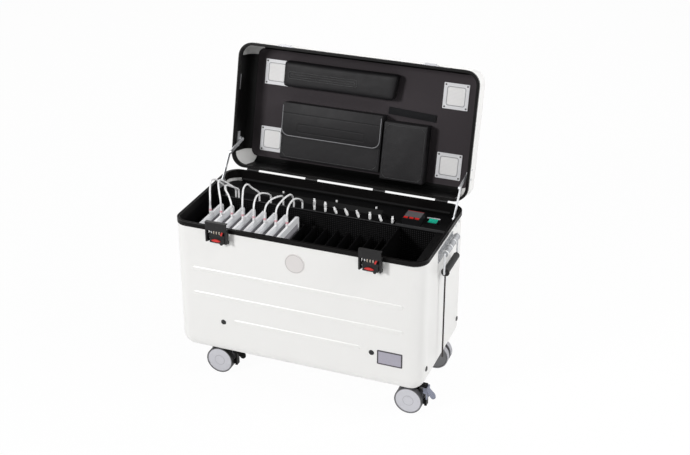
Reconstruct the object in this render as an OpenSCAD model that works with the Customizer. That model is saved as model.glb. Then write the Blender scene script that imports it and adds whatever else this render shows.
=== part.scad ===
// Wheeled charging case for tablets, lid open, in the pose it is seen in.
// Millimetres. Z = 0 is the floor, X runs along the case, -Y is the front.

/* [Case] */
// Length over the black rims
case_l = 800; // [770:5:840]
// Depth over the black rims
case_w = 407; // [395:1:430]
// Height of the white body under the rim
body_h = 430; // [400:5:460]
// Radius of the upright corners and of the bottom edges
corner_r = 46; // [40:1:50]
// Thickness of the moulded white shells
wall = 4; // [3:0.5:5]
// Height of the black rim profile on the case
rim_h = 14; // [12:0.5:16]
// Width of both rim profiles, from outside to inside
rim_w = 8.5; // [8:0.5:10]
// Depth of the inner leg of the case rim below the white edge
rim_leg = 12; // [8:1:14]

/* [Lid] */
// Height of the closed lid, rim included
lid_h = 116; // [112:1:124]
// Height of the black part of the lid rim
lid_rim_h = 10; // [9:0.5:12]
// Angle by which the lid stands open
lid_open = 104.3; // [96:0.1:106]
// Space between the two rims when the lid is shut
rim_gap = 0.6; // [0.4:0.1:1]
// Distance of the hinge axis behind the rear rim
hinge_back = 4; // [4:0.5:5]
// Width of one hinge
hinge_w = 40; // [36:1:48]
// Distance of the inner hinges from the middle
hinge_x1 = 115; // [100:5:140]
// Distance of the outer hinges from the middle
hinge_x2 = 320; // [300:5:330]

/* [Ribs and plates] */
// Height of one raised front rib
rib_h = 16; // [12:1:20]
// How far the front ribs stand out
rib_out = 1.6; // [1:0.1:1.9]
// Length of the two long ribs
rib_long = 682; // [600:2:690]
// Length of the short lower rib
rib_short = 416; // [360:2:480]
// Diameter of the round badge disc
badge_d = 64; // [50:1:70]
// Length of the bare rating plate
rate_l = 79; // [60:1:90]
// Height of the bare rating plate
rate_h = 48; // [30:1:50]
// Diameter of the round body plugs
plug_d = 17; // [14:0.5:20]

/* [Latches] */
// Distance of each latch from the middle
latch_x = 242.5; // [200:0.5:270]
// Width over the latch flap
latch_w = 69; // [66:1:76]
// How far the flap stands off the rim
latch_out = 22.5; // [21.5:0.5:26]
// Radius of the number dials
dial_r = 6.5; // [6:0.1:6.8]
// Width of one number dial
dial_w = 6; // [5:0.5:6.4]
// Travel of the red push button
button_go = 2; // [1.5:0.1:2]
// Distance of the lid catches from the middle
catch_x = 241; // [200:0.5:270]

/* [Handles] */
// Half length of the hinge barrel of a handle
barrel_y = 62; // [62:1:66]
// Distance of the barrel axis outside the body
barrel_out = 18.5; // [17:0.5:22]
// Depth of the barrel axis below the white edge
barrel_down = 18; // [16:1:24]
// Distance from the barrel axis to the grip axis
bail_drop = 65; // [55:1:75]
// Diameter of the steel rod
rod_d = 6; // [5:0.5:8]
// Diameter of the black grip
grip_d = 20; // [16:1:24]
// Length of the black grip
grip_l = 120; // [100:1:122]
// Length of the cord that hangs from the right handle
pull_l = 279; // [200:1:290]

/* [Castors] */
// Height from the floor to the underside of the body
castor_h = 108; // [106:1:112]
// Distance of each castor from the middle along the length
castor_x = 316; // [290:1:318]
// Distance of the front castors from the middle across the depth
castor_y = 122; // [110:1:126]
// How much further from the middle the rear castors stand
castor_back = 23; // [0:1:26]
// Diameter of the twin wheels
wheel_d = 88; // [80:1:90]
// Width of one wheel
wheel_w = 18; // [14:1:19]
// Distance of the axle behind the swivel axis
trail = 25; // [20:1:28]

/* [Stays] */
// Thickness of the stay links
link_t = 3; // [2:0.5:3]
// Width of the stay links
link_w = 13; // [10:1:15]

/* [Inside] */
// Distance between two tablet slots
slot_pitch = 37; // [36:0.5:38]
// Depth of the tablets' top edge below the white edge
tab_down = 30; // [28:1:40]
// Height of one tablet standing upright
tab_h = 240; // [200:1:250]
// Width of one tablet
tab_w = 169.5; // [134:0.5:186]
// Thickness of one tablet
tab_t = 7.5; // [6:0.1:10]
// Corner radius of one tablet
tab_r = 12; // [8:1:16]
// Depth of the cable tray below its lip
tray_deep = 7; // [6:1:16]
// Diameter of the charging leads
lead_d = 4.4; // [3:0.1:5]
// Side of the square plates in the lid
vent_s = 82; // [70:1:84]
// Depth of the pouches on the lid panel
pouch_t = 48; // [30:1:50]
// Length of the power module
module_l = 56; // [50:1:60]
// Width of the green rocker
rocker_w = 28; // [24:1:32]

/* [Hidden] */
$fn = 48;
zb = castor_h + body_h;
zr = zb + rim_h;
zl = zr + rim_gap;
ztop = zl + lid_h;
half_l = case_l / 2;
half_w = case_w / 2;
skin = 1.5;
in_set = skin + wall;
axis_y = half_w + hinge_back;
axis_z = zr + 0.7;
in_l = case_l - 2 * in_set;
in_w = case_w - 2 * in_set;
in_r = corner_r - in_set;
run_fit = 0.08;
floor_z = zb - tab_down - tab_h;
base_z = floor_z - 1.5;
slot_x0 = -half_l + slot_pitch + 13;
slot_y = -45.5;
bin_x0 = half_l - 174;
bin_x1 = half_l - 54;
slots = floor((bin_x0 + 1.01 - slot_x0 + slot_pitch / 2) / slot_pitch);
tabs = 8;
tray_x1 = half_l - 189;
spare_go = 37;
spares = 1 + floor((tray_x1 - 34 - slot_x0 - (tabs - 1) * slot_pitch) / spare_go);
divider_top = zb - 62;
pouch_x0 = -half_l + 140;
pouch_x1 = half_l - 157;
rocker_x = half_l - 97;
rocker_y = 130;
rocker_z = 2.2;
house_y = 84;
deck_z = zb - 24;
tray_z = zb - tab_down - tray_deep;
lip_z = zb - tab_down;
panel_z = zb + 119;
pan_t = 3;
lid_in_z = ztop - wall;
cove_z = lid_in_z - in_r;
// pivots of the stays: case pivot, and lid pivot with the lid shut
stay_p1 = [axis_y - 88, axis_z - 10];
stay_p2 = [axis_y - 88.7, axis_z + 40.3];
stay_long = 97.43;
stay_short = 88.57;
stay_tilt = 24.43;
stay_x = half_l - rim_w - 0.2;
barrel_x = half_l - skin + barrel_out;
barrel_z = zb - barrel_down;
pedal_x = trail + wheel_d / 2 + 5;
// farthest reach of the open lid behind the hinge, then the shift that centres the whole
lid_top = ztop - axis_z - (corner_r - skin);
lid_front = axis_y + half_w - corner_r;
lid_back = lid_top * sin(lid_open) - lid_front * cos(lid_open) + corner_r - skin;
shift_y = (half_w + latch_out - axis_y - lid_back) / 2;

// Flat rounded rectangle made of true arcs.
module plate2d(l, w, r) {
  square([l - 2 * r, w], center = true);
  square([l, w - 2 * r], center = true);
  for (x = [-1, 1]) for (y = [-1, 1])
    translate([x * (l / 2 - r), y * (w / 2 - r)]) circle(r);
}

// Moves the object so that its middle is over the origin.
module placed() {
  translate([0, shift_y, 0]) children();
}

module plate(l, w, r, h) {
  linear_extrude(h) plate2d(l, w, r);
}

// Outline of the case, drawn in by d, from height z over h.
module level(d, z, h) {
  translate([0, 0, z]) plate(case_l - 2 * d, case_w - 2 * d, corner_r - d, h);
}

// Ring between two insets of the outline.
module ring(d0, d1, z, h) {
  difference() {
    level(d0, z, h);
    level(d1, z - 1, h + 2);
  }
}

// Solid block with round upright corners and a round bottom edge.
module tub(l, w, h, r) {
  translate([0, 0, r]) plate(l, w, r, h - r);
  translate([-(l / 2 - r), -(w / 2 - r), 0]) cube([l - 2 * r, w - 2 * r, r]);
  for (s = [-1, 1]) {
    translate([-(l / 2 - r), s * (w / 2 - r), r]) rotate([0, 90, 0]) cylinder(h = l - 2 * r, r = r);
    translate([s * (l / 2 - r), w / 2 - r, r]) rotate([90, 0, 0]) cylinder(h = w - 2 * r, r = r);
    for (t = [-1, 1]) translate([s * (l / 2 - r), t * (w / 2 - r), r]) sphere(r);
  }
}

module box(x0, x1, y0, y1, z0, z1) {
  translate([x0, y0, z0]) cube([x1 - x0, y1 - y0, z1 - z0]);
}

// Round bar along Y.
module bar_y(x, y0, y1, z, r) {
  translate([x, y1, z]) rotate([90, 0, 0]) cylinder(h = y1 - y0, r = r);
}

// Round bar along X.
module bar_x(x0, x1, y, z, r) {
  translate([x0, y, z]) rotate([0, 90, 0]) cylinder(h = x1 - x0, r = r);
}

// Places what is drawn with the lid shut into the open pose.
module lid_pose() {
  translate([0, axis_y, axis_z]) rotate([-lid_open, 0, 0]) translate([0, -axis_y, -axis_z]) children();
}

module sides() {
  children();
  mirror([1, 0, 0]) children();
}

// CASE AND LID

// Raised rib with sloping edges and cone-shaped ends.
module rib(l, z) {
  half = (l - rib_h) / 2;
  r = rib_h / 2;
  low = rib_out + 0.5;
  translate([0, -half_w + skin + 0.5, z]) rotate([90, 0, 0]) {
    translate([-half, 0, 0]) rotate([90, 0, 90]) linear_extrude(2 * half)
      polygon([[-r, 0], [r, 0], [r - 1.6 * low, low], [1.6 * low - r, low]]);
    for (s = [-1, 1]) translate([s * half, 0, 0]) cylinder(h = low, r1 = r, r2 = r - 1.6 * low);
  }
}

module case_shell() {
  color("white") difference() {
    union() {
      translate([0, 0, castor_h]) tub(case_l - 2 * skin, case_w - 2 * skin, body_h + 6, corner_r - skin);
      rib(rib_long, zb - 140);
      rib(rib_long, zb - 225);
      rib(rib_short, zb - 303);
    }
    translate([0, 0, castor_h + wall]) tub(in_l, in_w, body_h + 6, in_r);
    for (s = [-1, 1]) {
      bar_y(s * (latch_x - 0.5), -half_w - 2, -half_w + 8, zb - 312, 4.5);
      for (y = [48.5 - half_w, half_w - 48.5]) bar_x(s * half_l - 8, s * half_l + 8, y, zb - 361, 4.5);
      for (y = [104, 136]) bar_x(s * half_l - 8, s * half_l + 8, y, zb - 8, 2);
    }
  }
}

module case_rim() {
  color("black") difference() {
    union() {
      ring(0, rim_w, zb + 6, rim_h - 6);
      ring(0, skin, zb, 6);
      ring(in_set, rim_w, zb - rim_leg, rim_leg + 6);
    }
    ring(3, 6.5, zr - 3, 4);
    difference() {
      translate([0, 0, zb + 6.5]) plate(case_l + 2, case_w + 2, corner_r, 1.5);
      level(0.7, zb, rim_h);
    }
    for (s = [-1, 1]) for (y = [104, 136])
      bar_x(s * (half_l - 6) - 4, s * (half_l - 6) + 4, y, zb - 8, 2);
  }
}

module lid_shell() {
  color("white") lid_pose() difference() {
    translate([0, 0, ztop]) mirror([0, 0, 1])
      tub(case_l - 2 * skin, case_w - 2 * skin, lid_h - 6, corner_r - skin);
    translate([0, 0, lid_in_z]) mirror([0, 0, 1]) tub(in_l, in_w, lid_h, in_r);
    for (s = [-1, 1]) for (y = [102, 132]) bar_x(s * half_l - 8, s * half_l + 8, y, zb + 42, 2);
  }
}

module lid_rim() {
  color("black") lid_pose() {
    ring(3.5, 6, zl - 2.2, 3);
    difference() {
      union() {
        ring(0, rim_w, zl, 6);
        ring(0, skin, zl + 5, lid_rim_h - 5);
        ring(in_set, rim_w, zl + 5, 11);
      }
      difference() {
        translate([0, 0, zl + 5]) plate(case_l + 2, case_w + 2, corner_r, 1.2);
        level(0.7, zl, 12);
      }
    }
  }
}

// Upright strip and cove of the lid's side lining, profile in X and Z.
module lining_profile(h0) {
  r = in_r;
  translate([in_l / 2 - 2, h0]) square([2, cove_z - h0]);
  intersection() {
    translate([in_l / 2 - r, cove_z]) difference() {
      circle(r);
      circle(r - 2);
    }
    translate([in_l / 2 - r, cove_z]) square([r, 32.6]);
  }
}

module lid_lining() {
  color([0.25, 0.22, 0.22]) lid_pose() difference() {
    lining_solids();
    for (s = [-1, 1]) for (y = [102, 132]) bar_x(s * half_l - 12, s * half_l + 12, y, zb + 42, 2);
  }
}

module lining_solids() {
  union() {
    translate([0, 0, panel_z]) plate(in_l - 2 * in_r + 36.4, in_w - 2 * in_r + 36.4, 18.2, pan_t);
    translate([0, 0, panel_z]) plate(in_l - 2 * in_r + 42.8, in_w - 2 * in_r + 42.8, 21.4, 1.2);
    translate([0, 0, panel_z + pan_t]) plate(in_l - 2 * in_r - 4, in_w - 2 * in_r - 4, 10, lid_in_z - panel_z - pan_t);
    for (s = [0, 1]) mirror([s, 0, 0])
      translate([0, in_w / 2 - in_r, 0]) rotate([90, 0, 0])
        linear_extrude(in_w - 2 * in_r) lining_profile(zl + 16);
    for (s = [0, 1]) mirror([0, s, 0])
      translate([-(in_l / 2 - in_r), (in_w - in_l) / 2, 0]) rotate([90, 0, 90])
        linear_extrude(in_l - 2 * in_r) lining_profile(zl + 16);
  }
}

// HINGES AND CATCHES

module hinge_case() {
  k = hinge_w / 2;
  color("black") for (x = [-hinge_x2, -hinge_x1, hinge_x1, hinge_x2]) translate([x, 0, 0]) {
    box(-k, k, half_w, half_w + 2, zb + 0.5, axis_z - 3.9);
    box(-8, 8, half_w, half_w + 2, axis_z - 3.9, axis_z);
    bar_x(-8, 8, axis_y, axis_z, 3.5);
    bar_x(-k, k, axis_y, axis_z, 2);
    for (s = [-1, 1]) bar_y(s * (k - 6), half_w + 1.5, half_w + 3, zb + 5.5, 2.5);
  }
}

module hinge_lid() {
  k = hinge_w / 2;
  color("black") lid_pose() for (x = [-hinge_x2, -hinge_x1, hinge_x1, hinge_x2])
    translate([x, 0, 0]) difference() {
      union() {
        box(-k, k, half_w, half_w + 2, axis_z + 3.9, zl + lid_rim_h - 0.2);
        for (s = [-1, 1]) {
          box(s < 0 ? -k : 8.4, s < 0 ? -8.4 : k, half_w, half_w + 2, axis_z, axis_z + 4);
          bar_x(s < 0 ? -k : 8.4, s < 0 ? -8.4 : k, axis_y, axis_z, 3.5);
        }
      }
      bar_x(-k - 1, k + 1, axis_y, axis_z, 2 + run_fit);
    }
}

module catch_plates() {
  color("silver") lid_pose() {
    sides() translate([catch_x, 0, 0]) {
      box(-27.5, 27.5, -half_w - 1.4, -half_w, zl + 1, zl + 9.5);
      box(-19, 19, -half_w - 6.5, -half_w - 1.3, zl + 4, zl + 6);
      box(-19, 19, -half_w - 6.5, -half_w - 5, zl + 6, zl + 11);
      for (s = [-1, 1]) bar_y(s * 23, -half_w - 2.6, -half_w - 1.3, zl + 5, 2.4);
    }
    box(-(half_l - rim_w), -(half_l - rim_w - 1.5), -98, -48, zl + 8, zl + 12);
  }
}

// LATCHES

module at_latch(s) {
  translate([s * latch_x, -half_w, zb]) children();
}

module latch_base() {
  difference() {
    union() {
      box(-28.5, 28.5, -3.5, 0, -30, 12);
      box(-28.5, 28.5, -0.1, skin, -30, -0.2);
      box(-20, 20, -16, -3, -4, 12);
      bar_x(-28, 28, -7, -9, 7.5);
      box(-24, 24, -16, -3, -30, -12);
      bar_y(13, -15, -3, -31, 5);
      intersection() {
        bar_x(-25, 25, -3, -8, 13);
        box(-25, 25, -16, -3, -14, -3.9);
      }
    }
    for (x = [-9, 0, 9]) bar_x(x - dial_w / 2 - 0.2, x + dial_w / 2 + 0.2, -11.5, 4.5, dial_r + 0.6);
    translate([0, -3.2, 0]) rotate([90, 0, 0]) linear_extrude(20) button2d(0.3);
  }
  bar_x(-14, 14, -11.5, 4.5, 1.5);
  for (t = [-1, 1]) bar_x(t < 0 ? -34.5 : 20, t < 0 ? -20 : 34.5, -9, -24, 2.5);
  translate([17, -17.2, 4]) rotate([0, 22, 0]) cube([4.4, 3, 12], center = true);
}

// Face of the push button: a lens between two wide arcs.
module button2d(grow) {
  intersection() {
    translate([-3, -43]) circle(26 + grow, $fn = 96);
    translate([-3, 8.5]) circle(34 + grow, $fn = 96);
  }
}

module latch_bases() {
  color([0.12, 0.12, 0.12]) for (s = [-1, 1]) at_latch(s) latch_base();
}

module latch_flap(s) {
  w = latch_w / 2;
  y = -latch_out;
  color([0.15, 0.15, 0.15]) at_latch(s) difference() {
    union() {
      translate([0, y + 3.5, 26.5]) rotate([90, 0, 0]) plate(2 * w, 27, 3, 3.5);
      box(-w, w, y, -11, 37.5, 40);
      box(-w + 5, w - 5, -13, -11, 33, 38);
      for (t = [-1, 1]) {
        box(t < 0 ? -w : w - 5, t < 0 ? -w + 5 : w, y, -9, -24, 20);
        bar_x(t < 0 ? -w : w - 5, t < 0 ? -w + 5 : w, -9, -24, 6);
        box(t < 0 ? -w : w - 5, t < 0 ? -w + 5 : w, y, -15, -26, -24);
      }
    }
    bar_x(-w - 1, w + 1, -9, -24, 2.5 + run_fit);
  }
}

module latch_button(s) {
  color("red") at_latch(s) translate([0, -3.5 - button_go, 0]) rotate([90, 0, 0])
    linear_extrude(13) button2d(0);
}

module dial(s, i) {
  color([0.85, 0.8, 0.65]) at_latch(s) translate([-9 + 9 * i, 0, 0]) difference() {
    bar_x(-dial_w / 2, dial_w / 2, -11.5, 4.5, dial_r);
    bar_x(-dial_w, dial_w, -11.5, 4.5, 1.5 + run_fit);
    for (a = [0:36:324]) translate([0, -11.5, 4.5]) rotate([a, 0, 0])
      translate([-dial_w, -0.4, dial_r - 0.5]) cube([2 * dial_w, 0.8, 2]);
  }
}

// HANDLES

module handle_bracket() {
  x = half_l - skin;
  r = rod_d / 2 + run_fit;
  difference() {
    union() {
      box(x, x + 2.5, -barrel_y - 9, barrel_y + 9, zb - 48, zb - 10);
      box(x + 1, barrel_x, -barrel_y, barrel_y, barrel_z - 2.5, barrel_z + 2);
      bar_y(barrel_x, -barrel_y, barrel_y, barrel_z, 9);
      for (y = [-barrel_y, -21, 16, barrel_y - 5]) bar_y(barrel_x, y, y + 5, barrel_z, 10);
    }
    bar_y(barrel_x, -barrel_y - 14, barrel_y + 14, barrel_z, r);
    box(x + 2.5, barrel_x + 12, -barrel_y + 5, barrel_y - 5, barrel_z - 12, barrel_z - 4.5);
  }
  for (y = [-1, 0, 1]) bar_x(x + 2, x + 4.5, y * (barrel_y + 2), zb - 42, 3.5);
}

module handle_brackets() {
  color("silver") sides() handle_bracket();
}

module bail() {
  y = barrel_y + rod_d / 2 + 1;
  z = barrel_z - bail_drop;
  r = rod_d / 2;
  bar_y(barrel_x, -y, y, barrel_z, r);
  bar_y(barrel_x, -y, y, z, r);
  for (s = [-1, 1]) {
    translate([barrel_x, s * y, z]) cylinder(h = bail_drop, r = r);
    for (h = [z, barrel_z]) translate([barrel_x, s * y, h]) sphere(r);
  }
}

module grip() {
  difference() {
    bar_y(barrel_x, -grip_l / 2, grip_l / 2, barrel_z - bail_drop, grip_d / 2);
    bar_y(barrel_x, -70, 70, barrel_z - bail_drop, rod_d / 2);
    for (s = [-1, 1]) translate([barrel_x, s * grip_l / 2, barrel_z - bail_drop])
      rotate([90 * s, 0, 0]) translate([0, 0, -0.01]) cylinder(h = 2, r1 = 6, r2 = 4);
  }
}

module bail_l() { color("silver") mirror([1, 0, 0]) bail(); }
module bail_r() { color("silver") bail(); }
module grip_l() { color("black") mirror([1, 0, 0]) grip(); }
module grip_r() { color("black") grip(); }

// Cord that hangs from the front end of the right grip, with its loop.
module pull_cord() {
  z = barrel_z - bail_drop;
  y = -grip_l / 2 + 6;
  color([0.2, 0.18, 0.18]) {
    translate([barrel_x, y, z]) rotate([90, 0, 0]) rotate_extrude($fn = 48)
      translate([grip_d / 2 + 1.6, 0]) circle(1.5, $fn = 16);
    tube([for (i = [0:12]) [barrel_x, y, z - grip_d / 2 - 2.5 - pull_l * i / 12]], 2.5, 8);
  }
}

// CASTORS

module at_castor(sx, sy) {
  translate([sx * castor_x, sy * castor_y + (sy > 0 ? castor_back : 0), 0]) children();
}

module castor_plates() {
  color([0.2, 0.2, 0.2]) for (sx = [-1, 1]) for (sy = [-1, 1]) at_castor(sx, sy) {
    translate([0, 0, castor_h - 3]) plate(88, 56, 6, 3);
    translate([0, 0, castor_h - 9]) cylinder(h = 6.5, r = 23);
    translate([0, 0, castor_h - 17.5]) cylinder(h = 15, r = 5);
    translate([0, 0, castor_h - 19.3]) cylinder(h = 2.5, r = 6);
    for (x = [-36, 36]) for (y = [-20, 20]) translate([x, y, castor_h - 6]) cylinder(h = 4, r = 4.5);
  }
}

module castor_fork(braked) {
  zw = wheel_d / 2;
  color([0.08, 0.08, 0.08]) difference() {
    union() {
      translate([0, 0, castor_h - 14.5]) cylinder(h = 5.2, r = 23);
      box(-8, trail + 30, -5, 5, zw, castor_h - 11);
      bar_y(trail, -5, 5, zw, 14);
      if (braked) {
        box(trail - 10, pedal_x + 3, -10, 10, castor_h - 14.5, castor_h - 9.6);
        box(pedal_x - 3, pedal_x + 3, -10, 10, castor_h - 26, castor_h - 14);
        box(trail, pedal_x + 4, -5, 5, zw - 14, zw - 4);
        box(pedal_x - 2, pedal_x + 5, -9, 9, zw - 16, zw + 5);
      }
    }
    bar_y(trail, -6, 6, zw, 4 + run_fit);
    translate([0, 0, castor_h - 20]) cylinder(h = 20, r = 5 + run_fit);
    translate([0, 0, castor_h - 24]) cylinder(h = 7.5, r = 6.6);
    bar_y(pedal_x, -12, 12, castor_h - 22, 1.5 + run_fit);
  }
}

module wheels() {
  zw = wheel_d / 2;
  y0 = 7;
  color([0.7, 0.7, 0.74]) {
    for (s = [-1, 1]) difference() {
      bar_y(trail, s < 0 ? -y0 - wheel_w : y0, s < 0 ? -y0 : y0 + wheel_w, zw, zw);
      bar_y(trail, s * (y0 + wheel_w) - 1, s * (y0 + wheel_w) + 1, zw, zw - 3.5);
    }
    for (s = [-1, 1]) {
      bar_y(trail, s < 0 ? -y0 - wheel_w + 0.5 : y0 + wheel_w - 3, s < 0 ? -y0 - wheel_w + 3 : y0 + wheel_w - 0.5, zw, 15);
    }
    bar_y(trail, -y0 - 2, y0 + 2, zw, 4);
  }
}

module pedal() {
  x = pedal_x;
  z = castor_h - 22;
  color([0.4, 0.42, 0.46]) {
    for (s = [-1, 1]) box(x - 5, x + 5, s < 0 ? -14 : 10.3, s < 0 ? -10.3 : 14, z - 12, z + 6);
    box(x + 4, x + 8, -14, 14, z - 32, z + 6);
    translate([x + 4, 0, z - 6]) rotate([0, 48, 0]) {
      translate([0, -12, 0]) cube([22, 24, 4]);
      translate([22, 0, 0]) cylinder(h = 4, r = 13);
    }
    bar_y(x, -14, 14, z, 1.5);
  }
}

module castor_fork_fl() { at_castor(-1, -1) castor_fork(true); }
module castor_fork_fr() { at_castor(1, -1) castor_fork(true); }
module castor_fork_rl() { at_castor(-1, 1) castor_fork(false); }
module castor_fork_rr() { at_castor(1, 1) castor_fork(false); }
module wheels_fl() { at_castor(-1, -1) wheels(); }
module wheels_fr() { at_castor(1, -1) wheels(); }
module wheels_rl() { at_castor(-1, 1) wheels(); }
module wheels_rr() { at_castor(1, 1) wheels(); }
module pedal_fl() { at_castor(-1, -1) pedal(); }
module pedal_fr() { at_castor(1, -1) pedal(); }

// LID STAYS: a parallelogram with the hinge line, so the links stay joined.

// Flat link along +Y with round ends; eye radius follows the width.
module link(len, x0, x1) {
  box(x0, x1, 0, len, -link_w / 2, link_w / 2);
  bar_x(x0, x1, 0, 0, link_w / 2);
  bar_x(x0, x1, len, 0, link_w / 2);
}

module stay_case_bracket() {
  x1 = stay_x;
  color("silver") {
    box(x1 - 2.5, x1, 96, 144, zb - 16, zb + 0);
    box(x1 - 2.5, x1, stay_p1[0] - 8, stay_p1[0] + 8, zb - 1, stay_p1[1]);
    bar_x(x1 - 2.5, x1, stay_p1[0], stay_p1[1], 8);
    bar_x(x1 - 7.5, x1, stay_p1[0], stay_p1[1], 3);
    bar_x(x1 - 7.5, x1 - 6, stay_p1[0], stay_p1[1], 5.5);
    for (y = [104, 136]) {
      bar_x(x1 - 1, half_l - skin + 0.5, y, zb - 8, 2);
      bar_x(half_l - skin, half_l + 1, y, zb - 8, 4);
    }
  }
}

module stay_case_brackets() { sides() stay_case_bracket(); }

module stay_lid_bracket() {
  x1 = in_l / 2 - 2;
  color("silver") {
    box(x1 - 2.5, x1, 92, 142, zb + 34, zb + 50);
    box(x1 - 2.5, x1, stay_p2[0] - 9, stay_p2[0] + 9, zb + 40, stay_p2[1]);
    bar_x(x1 - 2.5, x1, stay_p2[0], stay_p2[1], 9);
    bar_x(stay_x - 5.8, x1, stay_p2[0], stay_p2[1], 5.5);
    bar_x(stay_x - 10.9, x1, stay_p2[0], stay_p2[1], 3);
    bar_x(stay_x - 10.9, stay_x - 9.4, stay_p2[0], stay_p2[1], 5.5);
    for (y = [102, 132]) {
      bar_x(x1 - 1, half_l - skin + 0.5, y, zb + 42, 2);
      bar_x(half_l - skin, half_l + 1, y, zb + 42, 4);
    }
  }
}

module stay_lid_brackets() { lid_pose() sides() stay_lid_bracket(); }

// Lower link, turns with the lid about the case pivot.
module stay_lower() {
  x1 = stay_x - 2.7;
  color("silver") translate([0, stay_p1[0], stay_p1[1]]) rotate([180 - stay_tilt - lid_open, 0, 0]) {
    difference() {
      link(stay_long, x1 - link_t, x1);
      bar_x(x1 - 9, x1 + 9, 0, 0, 3 + run_fit);
    }
    bar_x(x1 - 8.2, x1, stay_long, 0, 2.5);
    bar_x(x1 - 8.2, x1 - 6.7, stay_long, 0, 5);
  }
}

// Upper link, hangs from the lid pivot and stays level.
module stay_upper() {
  x1 = stay_x - 5.9;
  a = -lid_open;
  dy = stay_p2[0] - axis_y;
  dz = stay_p2[1] - axis_z;
  color("silver")
    translate([0, axis_y + dy * cos(a) - dz * sin(a), axis_z + dy * sin(a) + dz * cos(a)])
    rotate([180 + atan2(10, 88), 0, 0]) difference() {
      link(stay_short, x1 - link_t, x1);
      bar_x(x1 - 9, x1 + 9, 0, 0, 3 + run_fit);
      bar_x(x1 - 9, x1 + 9, stay_short, 0, 2.5 + run_fit);
    }
}

module stay_lower_l() { mirror([1, 0, 0]) stay_lower(); }
module stay_lower_r() { stay_lower(); }
module stay_upper_l() { mirror([1, 0, 0]) stay_upper(); }
module stay_upper_r() { stay_upper(); }

// LID CONTENTS

module at_vents() {
  for (s = [-1, 1]) for (y = [97.5 - half_w, half_w - 87.5])
    translate([s * (half_l - 96), y, panel_z]) children();
}

module vent_frames() {
  color("silver") lid_pose() at_vents() {
    translate([0, 0, -2.5]) difference() {
      plate(vent_s, vent_s, 2, 2.5);
      translate([0, 0, -1]) plate(vent_s - 26, vent_s - 26, 9, 5);
    }
    for (x = [-1, 1]) for (y = [-1, 1])
      translate([x * (vent_s / 2 - 6), y * (vent_s / 2 - 6), -3.6]) cylinder(h = 1.6, r = 2.8);
  }
}

module vent_filters() {
  color("white") lid_pose() at_vents() translate([0, 0, -2]) plate(vent_s - 26.4, vent_s - 26.4, 8.8, 2);
}

// Soft box with a drawn-in front, standing off the lid panel by t.
module pouch(x0, x1, y0, y1, t, r) {
  translate([(x0 + x1) / 2, (y0 + y1) / 2, panel_z]) mirror([0, 0, 1]) hull() {
    plate(x1 - x0 - 4, y1 - y0 - 4, r, 1, $fn = 24);
    translate([0, 0, t * 0.25]) plate(x1 - x0, y1 - y0, r + 2, t * 0.4, $fn = 24);
    translate([0, 0, t - 2]) plate(x1 - x0 - 16, y1 - y0 - 16, r - 2, 2, $fn = 24);
  }
}

module pouch_roll() {
  color([0.1, 0.1, 0.11]) lid_pose()
    pouch(pouch_x0, pouch_x1 - 115, -148, -62, pouch_t - 4, 16);
}

module pouch_main() {
  color([0.12, 0.12, 0.13]) lid_pose() {
    pouch(pouch_x0 + 3, pouch_x1 - 148, -20, 165, pouch_t, 14);
    translate([(pouch_x0 + pouch_x1 - 145) / 2, 34, panel_z - pouch_t - 3.2])
      plate(pouch_x1 - pouch_x0 - 159, 110, 26, 3, $fn = 24);
  }
}

module pouch_side() {
  color([0.12, 0.12, 0.13]) lid_pose() pouch(pouch_x1 - 145, pouch_x1, -3, 176, pouch_t, 14);
}

module elastic_band() {
  color([0.08, 0.08, 0.09]) lid_pose()
    translate([pouch_x1 - 66, -31, panel_z - 2]) rotate([0, 0, 2]) box(-79, 79, -10, 10, 0, 2);
}

// INSIDE OF THE CASE

// Plan of the inside below the rim, drawn in by d from the shell.
module inside2d(d) {
  plate2d(in_l - 2 * d, in_w - 2 * d, in_r - d);
}

module liner() {
  x1 = in_l / 2;
  y1 = in_w / 2;
  sx = x1 - in_r;
  sy = y1 - in_r;
  z0 = floor_z - 60;
  z1 = zb - rim_leg;
  color([0.07, 0.07, 0.07]) {
    translate([0, 0, base_z - 2.5]) linear_extrude(2.5) intersection() {
      inside2d(2.1);
      translate([-x1, -y1]) square([2 * x1, y1 + house_y - 0.1]);
    }
    box(-x1, -x1 + 2, -sy, sy, z0, z1);
    box(x1 - 2, x1, -sy, sy, z0, z1);
    box(-sx, sx, -y1, -y1 + 2, z0, z1);
    box(-sx, sx, y1 - 2, y1, z0, z1);
    translate([-sx, 0, 0]) rotate([90, 0, 90]) linear_extrude(2 * sx)
      polygon([[y1 - 2, z1], [y1 - 3.4, z1], [y1 - 7.4, z1 - 4], [y1 - 7.4, z1 - 6], [y1 - 2, z1 - 6]]);
    for (c = [[-1, -1], [1, -1], [1, 1]]) translate([0, 0, z0]) linear_extrude(z1 - z0) intersection() {
      difference() {
        inside2d(0);
        inside2d(2);
      }
      translate([c[0] * (sx + 30), c[1] * (sy + 30)]) square(60, center = true);
    }
    box(bin_x0, bin_x0 + 2.5, -y1 + 2.1, house_y - 0.1, base_z - 1, lip_z - 2);
    box(bin_x1, bin_x1 + 2.5, -y1 + 2.1, house_y - 0.1, base_z - 1, lip_z - 2.2);
    box(bin_x1, x1 - 2.1, -sy, house_y - 0.1, lip_z - 2.2, lip_z);
    box(bin_x0 + 3.5, bin_x1 - 1, -y1 + 4, house_y - 1, base_z - 1, floor_z);
    for (k = [0:slots - 1])
      box(slot_x0 + k * slot_pitch - 16.5, slot_x0 + k * slot_pitch + 16.5, -140, 56, base_z - 1, floor_z);
  }
}

module slot_dividers() {
  color([0.1, 0.1, 0.1]) for (k = [0:slots - 1]) translate([slot_x0 + (k - 0.5) * slot_pitch, 0, 0]) {
    box(-1, 1, -150, 50, base_z, divider_top);
    box(-9, 1, 38, 50, divider_top - 2, divider_top);
  }
}

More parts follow.
